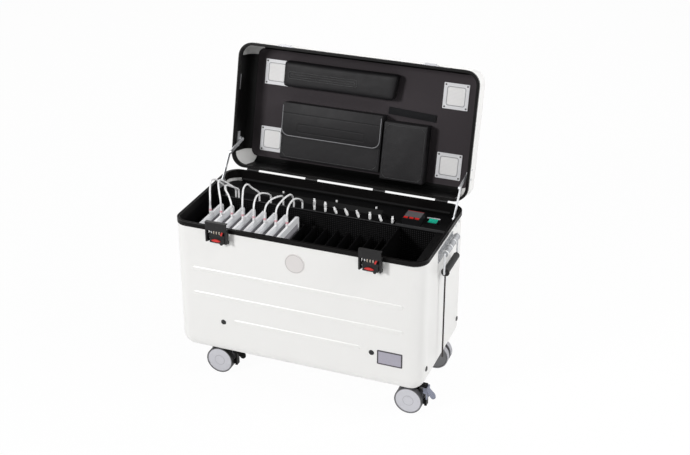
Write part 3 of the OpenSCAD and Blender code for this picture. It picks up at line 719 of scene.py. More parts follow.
@dataclass(frozen=True)
class PlugPlastic(Coating):
    """White plug moulding with two pink lines round its ring."""

    ring_z: tuple[float, float]
    colour: Colour = (0.97, 0.97, 0.97)
    ring: Colour = (0.8, 0.2, 0.29)
    line_apart: float = 1.7
    line_half: float = 1.0

    def lay(self, g: Graph) -> None:
        """Lays the finish on a material's shader.

        Args:
            g: the material's graph.
        """
        _, _, z = g.axes()
        on = abs(abs(z - sum(self.ring_z) / 2) - self.line_apart) < self.line_half
        cloud = g.noise(4, 2)
        body = g.mix(cloud * 0.3, self.colour, tint(self.colour, 0.9))
        g.dress(
            base_color=g.mix(on, body, self.ring),
            roughness=0.35 + cloud * 0.1,
            normal=g.bump(g.noise(0.8, 2), 0.02),
        )


@dataclass(frozen=True)
class PunchedPlastic(Coating):
    """Black housing with rows of fine round pimples on its front wall, and a painted highlight along its
    upper lip.
    """

    colour: Colour = (0.002, 0.0019, 0.0021)
    pitch_mm: float = 6.4
    top_mm: float = EDGE - 34.0
    wall_y: float = 85.0
    pimple: Colour = (0.035, 0.035, 0.037)
    # colour of the painted highlight along the upper lip
    wear_and_highlight: Colour = (0.05, 0.05, 0.052)

    def lay(self, g: Graph) -> None:
        """Lays the finish on a material's shader.

        Args:
            g: the material's graph.
        """
        x, y, z = g.axes()
        wall = (y < self.wall_y + middle_y()) * (z < self.top_mm)
        row = z.repeat(self.pitch_mm)
        dot = ((x.repeat(self.pitch_mm) ** 2.0) + row * row).root().ramp(1.9, 0.9) * wall
        # painted highlight: a lighter band along the front wall's upper lip, standing in for its rounded edge
        # catching light
        lip = (y < self.wall_y + 3 + middle_y()) * (z > LIP - 1.2)
        grain = g.noise(0.8, 2)
        dust = g.noise(20, 4).ramp(0.5, 0.85)
        body = g.mix(dust * 0.4, self.colour, tint(self.colour, 2.2))
        g.dress(
            base_color=g.mix(lip, g.mix(dot, body, self.pimple), self.wear_and_highlight),
            roughness=0.42 + grain * 0.12,
            normal=g.bump(dot, 0.7, g.bump(grain, 0.04)),
            specular_ior_level=0.12,
        )


@dataclass(frozen=True)
class FittedTrim(Coating):
    """Small fitted parts: dark plugs, bare round badge, bare bordered plate, pale strip and caps."""

    plate: Seam = Seam(262.0, 337.0, EDGE - 344.0, EDGE - 300.0, 1.0, 3.0)
    badge_z: float = EDGE - 61.0
    badge_mm: float = 34.0
    ring_mm: float = 28.5
    strip_x: float = 250.0
    dark: Colour = (0.012, 0.012, 0.013)
    badge: Colour = (0.73, 0.7, 0.69)
    face: Colour = (0.4, 0.385, 0.45)
    border: Colour = (0.05, 0.045, 0.05)
    cap: Colour = (0.86, 0.86, 0.86)
    strip: Colour = (0.62, 0.62, 0.66)

    def lay(self, g: Graph) -> None:
        """Lays the finish on a material's shader.

        Args:
            g: the material's graph.
        """
        x, y, z = g.axes()
        front = y < middle_y() + FRONT_Y + 1
        deck = z > DECK - 1
        radius = (x * x + (z - self.badge_z) ** 2.0).root()
        disc = (radius < self.badge_mm) * front
        ring = abs(radius - self.ring_mm).ramp(1.2, 0.6)
        ends = (x > self.plate.left - 3) * (x < self.plate.right + 3)
        plate = ends * front * (z > self.plate.low - 3) * (z < self.plate.high + 3)
        cloud = g.noise(5, 3)
        face = g.mix(cloud, tint(self.face, 0.88), tint(self.face, 1.1))
        tone = g.mix(deck, self.dark, g.mix(x > self.strip_x, self.cap, self.strip))
        tone = g.mix(plate, tone, g.mix(g.outline(x, z, self.plate), face, self.border))
        tone = g.mix(disc, tone, g.mix(ring * 0.5, self.badge, tint(self.badge, 0.4)))
        g.dress(
            base_color=tone,
            roughness=0.38 + cloud * 0.1,
            normal=g.bump(g.noise(0.9, 2), 0.03),
            specular_ior_level=0.35,
        )


@dataclass(frozen=True)
class LabelledModule(Coating):
    """Black moulding with a bare grey label on its top, red along the label's rear edge."""

    label: Seam = Seam(234.5, 285.5, 105.0, 146.0)
    top_mm: float = DECK + 19.5
    red_mm: float = 2.2
    grey: Colour = (0.1, 0.095, 0.1)
    red: Colour = (0.4, 0.03, 0.03)
    colour: Colour = (0.004, 0.004, 0.0045)

    def lay(self, g: Graph) -> None:
        """Lays the finish on a material's shader.

        Args:
            g: the material's graph.
        """
        x, y, z = g.axes()
        y = y - middle_y()
        sides = (x > self.label.left) * (x < self.label.right)
        on = (z > self.top_mm) * sides * (y > self.label.low) * (y < self.label.high)
        paper = g.mix(y > self.label.high - self.red_mm, self.grey, self.red)
        grain = g.noise(0.9, 2)
        g.dress(
            base_color=g.mix(on, g.mix(grain, self.colour, tint(self.colour, 2)), paper),
            roughness=0.4 + grain * 0.1,
            normal=g.bump(grain, 0.04),
            specular_ior_level=0.25,
        )


@dataclass(frozen=True)
class NumberWheels(Coating):
    """Dark number wheels, each with a cream band."""

    middle: float = 242.5
    pitch: float = 9.0
    half_band: float = 1.7
    band: Colour = (0.5, 0.42, 0.34)
    body: Colour = (0.01, 0.01, 0.01)

    def lay(self, g: Graph) -> None:
        """Lays the finish on a material's shader.

        Args:
            g: the material's graph.
        """
        x = g.axes()[0]
        face = abs((abs(x) - self.middle).repeat(self.pitch)) < self.half_band
        wear = g.noise(2, 3)
        g.dress(
            base_color=g.mix(face, self.body, g.mix(wear, self.band, tint(self.band, 0.8))),
            roughness=0.4 + wear * 0.1,
            normal=g.bump(g.noise(0.6, 2), 0.02),
        )


@dataclass(frozen=True)
class HandleZinc(Coating):
    """Mottled galvanised handle plates, with a painted highlight ring on each barrel's collar."""

    barrel: tuple[float, float] = (417.0, EDGE - 18.0)
    collar: tuple[float, float] = (9.3, 10.6)
    # colour of the painted highlight on the barrels' collars
    bright: Colour = (0.85, 0.86, 0.87)
    colour: Colour = (0.5, 0.51, 0.53)

    def lay(self, g: Graph) -> None:
        """Lays the finish on a material's shader.

        Args:
            g: the material's graph.
        """
        x, _, z = g.axes()
        radius = ((abs(x) - self.barrel[0]) ** 2.0 + (z - self.barrel[1]) ** 2.0).root()
        # painted highlight: a bright ring at each barrel's collar, standing in for light caught by its flange
        collar = (radius > self.collar[0]) * (radius < self.collar[1])
        spangle = g.noise(7, 4).ramp(0.3, 0.7)
        tone = g.mix(spangle, tint(self.colour, 0.62), self.colour)
        g.dress(
            base_color=g.mix(collar, tone, self.bright),
            roughness=0.42 - collar * 0.12 + spangle * 0.1,
            metallic=0.6,
            normal=g.bump(spangle, 0.05),
        )


class Finish(Enum):
    """Every finish of the object by its use."""

    SHELL = MouldedPlastic("white_shell", (0.85, 0.845, 0.83), 0.34, 1.6, 0.02, 0.012)
    PROFILE = DrawnProfile("black_profile")
    STEEL = PlatedSteel("zinc_steel", (0.8, 0.81, 0.83), 0.32)
    CATCH = PlatedSteel("catch_zinc", (0.4, 0.4, 0.42), 0.4)
    FRAME = ScrewedPlate("frame_plate", PANEL - 2.8)
    COAT = PowderCoat("black_coat", (0.0095, 0.009, 0.0095))
    LINING = Felt("lining_felt", (0.052, 0.045, 0.049))
    POUCH = Leathercloth("pouch_cloth")
    FLAP = Leathercloth("flap_cloth", seams=(
        Seam(-198, 32, 44, 70, 4, 1.6), Seam(-400, 400, -90, 12, 2, 1.8)), front=PANEL - 30)
    PIPING = MouldedPlastic("grey_piping", (0.2, 0.2, 0.21), 0.3, 0.8, 0.05)
    BAND = Webbing("elastic_webbing")
    FILTER = FilterMat("filter_white")
    DARK = MouldedPlastic("dark_plastic", (0.002, 0.0019, 0.0021), 0.45, 0.8, 0.04, 0.3, 0.12)
    HOUSING = PunchedPlastic("pimpled_housing")
    MODULE = LabelledModule("module_plastic")
    TRIM = FittedTrim("fitted_trim")
    HANDLE = HandleZinc("handle_zinc")
    RED = MouldedPlastic("red_plastic", (0.62, 0.018, 0.014), 0.3)
    GREEN = MouldedPlastic("green_plastic", (0.01, 0.42, 0.28), 0.25)
    CREAM = NumberWheels("number_wheels")
    SEAM = MouldedPlastic("seam_thread", (0.02, 0.02, 0.021), 0.4, 0.8, 0.05)
    GRIP = MouldedPlastic("grip_rubber", (0.009, 0.009, 0.009), 0.5, 0.9, 0.1, 0.3, 0.35)
    PEDAL = MouldedPlastic("pedal_grey", (0.22, 0.235, 0.305), 0.45)
    CORD = Webbing("cord_braid", (0.05, 0.043, 0.042), 1.2)
    LEAD = MouldedPlastic("lead_white", (0.99, 0.99, 0.995), 0.32, 1.0, 0.02)


_made: dict[str, bpy.types.Material] = {}


def paint(finish: object) -> bpy.types.Material:
    """The material of a finish, made once.

    Args:
        finish: a finish, or its name in the list.

    Returns:
        The material.
    """
    made = finish.value if isinstance(finish, Enum) else finish
    if made.name not in _made:
        _made[made.name] = made.material()
    return _made[made.name]


# ---------------------------------------------------------------- mesh helpers


def to_piece(bm: bmesh.types.BMesh, name: str, finish: object, body: str, turn: Matrix,
             sharp: float = 35.0) -> bpy.types.Object:
    """Closes a mesh into a named piece that rides on a body.

    Args:
        bm: the mesh, in millimetres.
        name: the piece's name.
        finish: its finish.
        body: the CAD body that carries it.
        turn: matrix from the mesh to the row frame.
        sharp: edges over this angle in degrees stay sharp.

    Returns:
        The piece.
    """
    bmesh.ops.recalc_face_normals(bm, faces=bm.faces)
    bmesh.ops.transform(bm, matrix=turn, verts=bm.verts)
    mesh = bpy.data.meshes.new(name)
    bm.to_mesh(mesh)
    bm.free()
    mesh.polygons.foreach_set("use_smooth", [True] * len(mesh.polygons))
    mesh.set_sharp_from_angle(angle=math.radians(sharp))
    obj = bpy.data.objects.new(name, mesh)
    bpy.context.collection.objects.link(obj)
    obj.data.materials.append(paint(finish))
    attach(obj, body)
    log.info("piece %s on %s: %d faces", name, body, len(mesh.polygons))
    return obj


def block(bm: bmesh.types.BMesh, size: Point, centre: Point, edge: float, segments: int) -> None:
    """Adds a box with rounded edges.

    Args:
        bm: mesh to add to.
        size: the box's sides.
        centre: its middle.
        edge: radius of its edges.
        segments: faces round each edge.
    """
    verts = bmesh.ops.create_cube(bm, size=1.0)["verts"]
    bmesh.ops.scale(bm, vec=size, verts=verts)
    bmesh.ops.translate(bm, vec=centre, verts=verts)
    rounded(bm, list({e for v in verts for e in v.link_edges}), edge, segments)


def rounded(bm: bmesh.types.BMesh, edges: list[bmesh.types.BMEdge], radius: float, segments: int) -> None:
    """Rounds some of a mesh's edges."""
    bmesh.ops.bevel(bm, geom=edges, offset=radius, offset_type="OFFSET", segments=segments, profile=0.5,
                    affect="EDGES", material=-1, clamp_overlap=True)


def swept(bm: bmesh.types.BMesh, points: Sequence[Vector], radius: float, closed: bool = False) -> None:
    """Adds a round bead along points, by bridging circles that stand on them.

    Args:
        bm: mesh to add to.
        points: the bead's middle line.
        radius: its radius.
        closed: whether the line meets itself.
    """
    count = len(points)
    rings = []
    carried = None
    for i, point in enumerate(points):
        before = points[(i - 1) % count] if closed or i else point
        after = points[(i + 1) % count] if closed or i < count - 1 else point
        along = (after - before).normalized()
        carried = along.orthogonal() if carried is None else carried - along * carried.dot(along)
        carried = carried.normalized()
        made = bmesh.ops.create_circle(bm, segments=BEAD_SIDES, radius=radius)
        turn = Matrix((carried, along.cross(carried), along)).transposed().to_4x4()
        bmesh.ops.transform(bm, matrix=Matrix.Translation(point) @ turn, verts=made["verts"])
        rings.append(made["verts"])
    pairs = list(zip(rings, rings[1:]))
    if closed:
        pairs.append((rings[-1], rings[0]))
    for first, second in pairs:
        edges = [bm.edges.get((a, b)) for ring in (first, second) for a, b in zip(ring, ring[1:] + ring[:1])]
        bmesh.ops.bridge_loops(bm, edges=edges)
    if not closed:
        for ring in (rings[0], rings[-1]):
            bmesh.ops.contextual_create(bm, geom=ring)


def turned(bm: bmesh.types.BMesh, profile: Sequence[tuple[float, float]], foot: Vector,
           steps: int = 24) -> None:
    """Adds a body turned about an upright axis, closed at both ends.

    Args:
        bm: mesh to add to.
        profile: radius and height pairs, from the foot to the top.
        foot: the axis at height nought.
        steps: faces round the axis.
    """
    spots = [(0.0, profile[0][1]), *profile, (0.0, profile[-1][1])]
    line = [bm.verts.new(foot + Vector((r, 0, z))) for r, z in spots]
    edges = [bm.edges.new(pair) for pair in zip(line, line[1:])]
    bmesh.ops.spin(bm, geom=line + edges, cent=foot, axis=(0, 0, 1), angle=2 * math.pi, steps=steps,
                   use_merge=True)
    bmesh.ops.remove_doubles(bm, verts=bm.verts, dist=1e-4)


def tipped(bm: bmesh.types.BMesh, spot: Point, degrees: float, axis: str) -> None:
    """Turns a whole mesh about one axis, then moves it to a spot."""
    turn = Matrix.Translation(spot) @ Matrix.Rotation(math.radians(degrees), 4, axis)
    bmesh.ops.transform(bm, matrix=turn, verts=bm.verts)


def rounded_outline(edge: "Seam", z: float, steps: int) -> list[Vector]:
    """Points round a rectangle with rounded corners, at one height.

    Args:
        edge: the rectangle.
        z: the height.
        steps: points in each corner, less one.

    Returns:
        The points, from the right rear corner round.
    """
    r = edge.corner
    x0, x1, y0, y1 = edge.left + r, edge.right - r, edge.low + r, edge.high - r
    points = []
    for cx, cy, start in ((x1, y1, 0), (x0, y1, 90), (x0, y0, 180), (x1, y0, 270)):
        for k in range(steps + 1):
            a = math.radians(start + 90 * k / steps)
            points.append(Vector((cx + r * math.cos(a), cy + r * math.sin(a), z)))
    return points


# ---------------------------------------------------------------- camera and cords


@dataclass
class PhotoCamera:
    """The camera at the photograph's viewing angle."""

    spot: Point = (1368.68, -3332.47, EDGE + 1797.86)
    yaw: float = 0.37041
    pitch: float = 0.45035
    roll: float = -0.00187
    focal_px: float = 1322.28
    photo_px: float = 690.0
    film: float = 36.0
    shift: tuple[float, float] = (0.00286, -0.04)

    def build(self) -> None:
        """Makes the camera and sets it as the scene's."""
        data = bpy.data.cameras.new("photo_camera")
        data.sensor_width = self.film
        data.lens = self.film * self.focal_px / self.photo_px
        data.shift_x, data.shift_y = self.shift
        data.clip_start, data.clip_end = 0.1, 60.0
        cam = bpy.data.objects.new("photo_camera", data)
        bpy.context.collection.objects.link(cam)
        ahead = Vector((-math.sin(self.yaw) * math.cos(self.pitch), math.cos(self.yaw) * math.cos(self.pitch),
                        -math.sin(self.pitch)))
        right = Vector((math.cos(self.yaw), math.sin(self.yaw), 0))
        over = right.cross(ahead)
        side = right * math.cos(self.roll) + over * math.sin(self.roll)
        top = over * math.cos(self.roll) - right * math.sin(self.roll)
        turn = Matrix((side, top, -ahead)).transposed().to_4x4()
        cam.matrix_world = Matrix.Translation(place(*self.spot)) @ turn
        bpy.context.scene.camera = cam
        log.info("camera set")


@dataclass
class LeadPlug:
    """Charging plug: round body, ring and ribbed strain relief, and how the spare ones stand."""

    body: float = 4.35
    ring: tuple[float, float] = (13.0, 15.5)
    top: float = 28.0
    tip: float = 3.0
    ribs: int = 5
    foot: float = 3.9
    parking_x: float = 197.0
    parking: tuple[tuple[float, float], ...] = (
        (0, 14), (-20, 13), (0, 15), (-20, 15), (-24, 15), (-24, 14), (0, 25), (0, 30))

    def standing(self, i: int) -> bpy.types.Object:
        """The plug that stands on one tablet.

        Args:
            i: the tablet's number, from nought.

        Returns:
            The piece.
        """
        bm = bmesh.new()
        low, high = self.ring
        body, waist = self.body, self.body - 0.3
        profile = [(waist, 0), (body, 0.4), (body, low - 0.4), (waist, low), (body, low + 0.2),
                   (body, high - 0.2), (waist, high), (3.8, high + 0.6)]
        step = (self.top - high - 2) / self.ribs
        for k in range(self.ribs):
            r = 3.7 - (3.7 - self.tip) * (k + 1) / self.ribs
            z = high + 1.2 + k * step
            profile += [(r + wide, z + step * up)
                        for wide, up in ((0.35, 0), (0.35, 0.55), (-0.25, 0.65), (-0.25, 0.95))]
        profile.append((self.tip, self.top))
        turned(bm, profile, Vector((SLOT_X + i * PITCH, SLOT_Y, LIP)))
        return self.fitted(bm, f"plug_{i + 1}", PlugPlastic("plug_white", (LIP + low, LIP + high)))

    def parked(self, i: int) -> None:
        """A spare plug that stands or leans in the tray, its flat tongue up.

        Args:
            i: the spare plug's number, from nought.
        """
        bm = bmesh.new()
        lean, high = self.parking[i]
        r = self.foot
        ball = [(r * math.sin(a), -r * math.cos(a)) for a in (math.pi * k / 12 for k in range(1, 6))]
        neck = [(4.1, high * 0.45), (3.7, high * 0.47), (4.2, high * 0.5), (4.4, high - 0.6)]
        turned(bm, [*ball, (r, 0), *neck, (r, high)], Vector())
        block(bm, (6.6, 1.6, 7.2), (0, 0, high + 3.4), 0.5, 2)
        tipped(bm, (self.parking_x - i * PITCH, TRAY_Y, TRAY + r), lean, "Y")
        self.fitted(bm, f"spare_plug_{i + 1}", PlugPlastic("plug_plain", (0, 1)))

    def fitted(self, bm: bmesh.types.BMesh, name: str, finish: Coating) -> bpy.types.Object:
        """Makes a plug's mesh a piece that stands for part of the connectors.

        Args:
            bm: the mesh, in case millimetres.
            name: the piece's name.
            finish: its finish.

        Returns:
            The piece.
        """
        piece = to_piece(bm, name, finish, "case", case_matrix(), 40)
        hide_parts("connectors")
        return piece


@dataclass
class ChargingLeads:
    """Eight white leads from the tray to the plugs on the tablets."""

    diameter: float = 5.8
    middles: list[list[Point]] = field(default_factory=lambda: [
        [(0, -44, 20), (-9, -24, 43), (-22, 10, 53), (-22, 40, 46), (-20, 72, 20), (-18, 98, -4)],
        [(-1, -44, 20), (-15, -24, 44), (-33, 10, 54), (-37, 38, 48), (-29, 70, 22), (-20, 98, -4)],
        [(-2, -44, 16), (-18, -28, 34), (-42, -1, 40), (-52, 28, 38), (-53, 60, 20), (-47, 97, -4)],
        [(-1, -44, 18), (-7, -28, 38), (-18, 4, 50), (-20, 34, 50), (-18, 66, 24), (-12, 98, -4)],
        [(0, -44, 14), (-3, -31, 28), (-8, -2, 34), (-8, 28, 30), (-4, 60, 16), (-8, 97, -7)],
        [(0, -43, 12), (-1, -28, 23), (-1, 4, 25), (5, 34, 23), (9, 64, 14), (-1, 97, -7)],
        [(0, -43, 13), (0, -29, 26), (2, 4, 32), (6, 34, 34), (5, 64, 24), (-3, 97, -5)],
        [(0, -43, 13), (-3, -28, 26), (-7, 2, 30), (-7, 32, 28), (-8, 64, 14), (-11, 97, -7)]])
    ends: tuple[float, ...] = (-18, -20, -47, -12, -9, -3, -4, -12)

    def route(self, i: int) -> list[Vector]:
        """Points of one lead in the row frame, from the tray to its plug.

        Args:
            i: the lead's number, from nought.

        Returns:
            The points, in metres.
        """
        x, end = SLOT_X + i * PITCH, SLOT_X + i * PITCH + self.ends[i]
        knots = [Vector((x, SLOT_Y, LIP + 31))]
        knots += [Vector((x + a, b, EDGE + c)) for a, b, c in self.middles[i]]
        knots += [Vector((end, TRAY_Y, TRAY + 18)), Vector((end, TRAY_Y, TRAY + 5))]
        line = [Vector((x, SLOT_Y, LIP + 28)), *smooth_line(knots, 8), Vector((end, TRAY_Y, TRAY))]
        return [place(*p) for p in reversed(line)]

    def build(self) -> None:
        """Makes and dresses every lead and its plugs, and hides the CAD leads."""
        for i in range(8):
            points = self.route(i)
            cord = bead_curve(f"lead_{i + 1}", points, self.diameter / 2 * MM, Finish.LEAD, "case")
            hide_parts("leads")
            plug = LeadPlug()
            plug.standing(i)
            plug.parked(i)


@dataclass
class PullCord:
    """Cord that hangs from the right grip, tied round it by a loop."""

    diameter: float = 5.0
    x: float = 417.0
    y: float = -54.0
    grip_z: float = EDGE - 83.0
    drop: float = 279.0
    loop: float = 11.6
    loop_wire: float = 1.5

    def build(self) -> None:
        """Makes the hanging cord and its loop."""
        top = self.grip_z - 12.5
        points = [place(self.x, self.y, top - self.drop * i / 24) for i in range(25)]
        cord = bead_curve("pull_cord_line", points, self.diameter / 2 * MM, Finish.CORD, "pull_cord")
        bm = bmesh.new()
        ring = [Vector((self.x + self.loop * math.cos(a), self.y, self.grip_z + self.loop * math.sin(a)))
                for a in (2 * math.pi * k / 32 for k in range(32))]
        swept(bm, ring, self.loop_wire, True)
        loop = to_piece(bm, "pull_cord_loop", Finish.CORD, "pull_cord", case_matrix(), 60)
        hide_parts("pull_cord")


def smooth_line(knots: list[Vector], steps: int) -> list[Vector]:
    """Smooth curve through knots, the same as the solid's.

    Args:
        knots: the route's points.
        steps: points in each span.

    Returns:
        The curve's points.
    """
    line = []
    last = len(knots) - 1
    for i in range(last):
        a, b, c, d = knots[max(0, i - 1)], knots[i], knots[i + 1], knots[min(last, i + 2)]
        for j in range(steps):
            t = j / steps
            line.append(0.5 * (2 * b + t * (c - a) + t * t * (2 * a - 5 * b + 4 * c - d)
                               + t ** 3 * (3 * b - a - 3 * c + d)))
    return line + [knots[-1]]


def bead_curve(name: str, points: Sequence[Vector], radius: float, finish: object,
               body: str) -> bpy.types.Object:
    """A round cord as a curve with one open spline.

    Args:
        name: the piece's name.
        points: the cord's middle line, in metres.
        radius: its radius in metres.
        finish: its finish.
        body: the CAD body that carries it.

    Returns:
        The cord.
    """
    data = bpy.data.curves.new(name, "CURVE")
    data.dimensions = "3D"
    data.bevel_depth = radius
    data.bevel_resolution = 4
    data.use_fill_caps = True
    spline = data.splines.new("POLY")
    spline.points.add(len(points) - 1)
    for p, co in zip(spline.points, points):
        p.co = (*co, 1)
    data.materials.append(paint(finish))
    obj = bpy.data.objects.new(name, data)
    bpy.context.collection.objects.link(obj)
    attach(obj, body)
    log.info("cord %s on %s", name, body)
    return obj


# ---------------------------------------------------------------- soft goods of the lid


@dataclass
class Pouch:
    """A sewn bag on the lid's panel, in shut-lid millimetres."""

    name: str
    node: str
    left: float
    right: float
    low: float
    high: float
    deep: float
    finish: Finish
    crown: float = 3.0
    slant: float = 0.0
    edge: float = 5.0
    draw: float = 2.5
    wave: float = 1.1

    def middle(self) -> tuple[float, float]:
        """The middle of the bag's outline."""
        return (self.left + self.right) / 2, (self.low + self.high) / 2

    def belly(self, x: float, y: float) -> tuple[float, float, float]:
        """Place across and along the bag, from -1 to 1, and how far out of its edge that is."""
        u, w = 2 * x / (self.right - self.left), 2 * y / (self.high - self.low)
        return u, w, max(0.0, (1 - u * u) * (1 - w * w))

    def slack(self, x: float, y: float) -> float:
        """Slow wave of the loose cloth."""
        return self.wave * math.sin(x * 0.045 + y * 0.07) * math.sin(y * 0.05 - x * 0.021)

    def front(self, x: float, y: float) -> float:
        """Height of the bag's front at a point.

        Args:
            x: the point's place across the lid.
            y: its place along the lid.

        Returns:
            The height, in shut-lid millimetres.
        """
        cx, cy = self.middle()
        x, y = x - cx, y - cy
        return PANEL - self.deep - (self.crown * 0.9 + self.slack(x, y)) * self.belly(x, y)[2]

    def shell(self) -> bmesh.types.BMesh:
        """Crowned body whose sides draw in between its corners.

        Returns:
            The mesh, in shut-lid millimetres.
        """
        bm = bmesh.new()
        size = (self.right - self.left, self.high - self.low, self.deep)
        block(bm, size, (0, 0, -self.deep / 2), self.edge, 3)
        long = [e for e in bm.edges if e.calc_length() > 18]
        bmesh.ops.subdivide_edges(bm, edges=long, cuts=6, use_grid_fill=True)
        for v in bm.verts:
            u, w, belly = self.belly(v.co.x, v.co.y)
            out = -v.co.z / self.deep
            v.co.z -= self.crown * belly * (1 if out > 0.4 else 0) * 0.9
            draw = self.draw * out * (1 - out) * 4
            v.co.x -= math.copysign(draw * (1 - w * w) * abs(u) ** 6, u)
            v.co.y -= math.copysign(draw * (1 - u * u) * abs(w) ** 6, w)
            v.co.x += self.slant * w * max(0.0, u)
            v.co.z -= self.slack(v.co.x, v.co.y) * belly
        bmesh.ops.translate(bm, vec=(*self.middle(), PANEL), verts=bm.verts)
        return bm

    def build(self) -> None:
        """Makes the bag, which stands for its solid."""
        piece = to_piece(self.shell(), self.name, self.finish, "lid", lid_matrix(), 50)
        smooth = piece.modifiers.new("round", "SUBSURF")
        smooth.levels = smooth.render_levels = 1
        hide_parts(self.node)


@dataclass
class LidGoods:
    """Pouches with their sewn lines, flap, piping and elastic band of the lid."""

    front: float = PANEL - 48.0
    flap_size: Point = (340.0, 108.0, 3.0)
    flap_middle: tuple[float, float] = (-84.0, 33.0)
    flap_corner: float = 22.0
    piping: Seam = Seam(-252, 84, -12, 86, 24)
    piping_wire: float = 1.6
    strap_size: Point = (158.0, 23.0, 1.8)
    strap_spot: Point = (169.0, -31.0, PANEL - 3.5)
    strap_lean: float = 2.7
    roll: Pouch = field(default_factory=lambda: Pouch(
        "roll_pouch", "pouch_roll", -268, 118, -154, -68, 42, Finish.POUCH, 3, -6, 14))
    main: Pouch = field(default_factory=lambda: Pouch(
        "main_pouch", "pouch_main", -257, 88, -20, 165, 46, Finish.POUCH))
    side: Pouch = field(default_factory=lambda: Pouch(
        "side_pouch", "pouch_side", 91, 237, -6, 182, 46, Finish.POUCH))

    def bead(self, name: str, points: list[Vector], radius: float, finish: Finish,
             closed: bool = False) -> None:
        """Sews a round bead along points.

        Args:
            name: the piece's name.
            points: the bead's middle line.
            radius: its radius.
            finish: its finish.
            closed: whether the line meets itself.
        """
        bm = bmesh.new()
        swept(bm, points, radius, closed)
        to_piece(bm, name, finish, "lid", lid_matrix(), 60)

    def sewn(self, name: str, pouch: Pouch, edge: Seam) -> None:
        """Sews a raised line round a rectangle on a pouch's front.

        Args:
            name: piece name.
            pouch: the bag that carries it.
            edge: the rectangle, with its corners cut or round, and the line's width.
        """
        steps = 1 if edge.corner > 8 else 3
        flat = rounded_outline(edge, 0, steps)
        points = []
        for a, b in zip(flat, flat[1:] + flat[:1]):
            count = max(1, int((b - a).length / 12))
            points += [a.lerp(b, k / count) for k in range(count)]
        for p in points:
            p.z = pouch.front(p.x, p.y) - 0.3
        self.bead(name, points, edge.width / 2, Finish.SEAM, True)

    def flap(self) -> None:
        """Flap over the wide pouch, with grey piping round its free edge."""
        bm = bmesh.new()
        block(bm, self.flap_size, (*self.flap_middle, self.front - 3.5), 1.4, 2)
        corners = [e for e in bm.edges if abs(e.verts[0].co.z - e.verts[1].co.z) > 1.5]
        rounded(bm, corners, self.flap_corner, 6)
        flap = to_piece(bm, "pouch_flap", Finish.FLAP, "lid", lid_matrix(), 40)
        deep = self.front - 4.6
        edge = self.piping
        both_corners = rounded_outline(edge, deep, 6)[:14]
        points = [Vector((edge.right, edge.low, deep)), *both_corners, Vector((edge.left, edge.low, deep))]
        self.bead("flap_piping", points, self.piping_wire, Finish.PIPING)

    def build(self) -> None:
        """Makes all the goods."""
        for pouch in (self.roll, self.main, self.side):
            pouch.build()
        for name, pouch, edge in (("zip_edge", self.roll, Seam(-246, -12, -120, -98, 4, 2.4)),
                                  ("zip_teeth", self.roll, Seam(-240, -18, -113, -105, 2, 2.0)),
                                  ("main_seam", self.main, Seam(-249, 80, -12, 157, 14, 1.6)),
                                  ("side_seam", self.side, Seam(98, 230, 4, 174, 12, 1.6))):
            self.sewn(name, pouch, edge)
        self.flap()
        bm = bmesh.new()
        block(bm, self.strap_size, (0, 0, 0), 0.6, 2)
        tipped(bm, self.strap_spot, self.strap_lean, "Z")
        band = to_piece(bm, "elastic_strap", Finish.BAND, "lid", lid_matrix())
        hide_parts("elastic_band")


# ---------------------------------------------------------------- latches


@dataclass
class LatchMarks:
    """Red release lever and bright steel tongue beside each latch's number wheels."""

    across: float = 242.5
    out: float = -203.5
    lever: Point = (5.2, 3.2, 12.8)
    tongue: Point = (3.2, 1.6, 6.5)

    def bar(self, name: str, size: Point, spot: Point, lean: float, finish: Finish) -> None:
        """Adds a small leaning bar.

        Args:
            name: piece name.
            size: sides of the bar.
            spot: its middle in case millimetres.
            lean: turn about the front-to-back axis, in degrees.
            finish: its finish.
        """
        bm = bmesh.new()
        block(bm, size, (0, 0, 0), 0.7, 2)
        tipped(bm, spot, lean, "Y")
        to_piece(bm, name, finish, "case", case_matrix())

    def build(self) -> None:
        """Adds the marks of both latches."""
        for side, s in (("l", -1), ("r", 1)):
            x = s * self.across
            right, left = (x + 17, self.out - 17.3, EDGE + 4), (x - 17, self.out - 16.3, EDGE + 5)
            self.bar(f"latch_lever_{side}", self.lever, right, 22, Finish.RED)
            self.bar(f"latch_tongue_{side}", self.tongue, left, -14, Finish.STEEL)


# ---------------------------------------------------------------- finishes of the CAD nodes


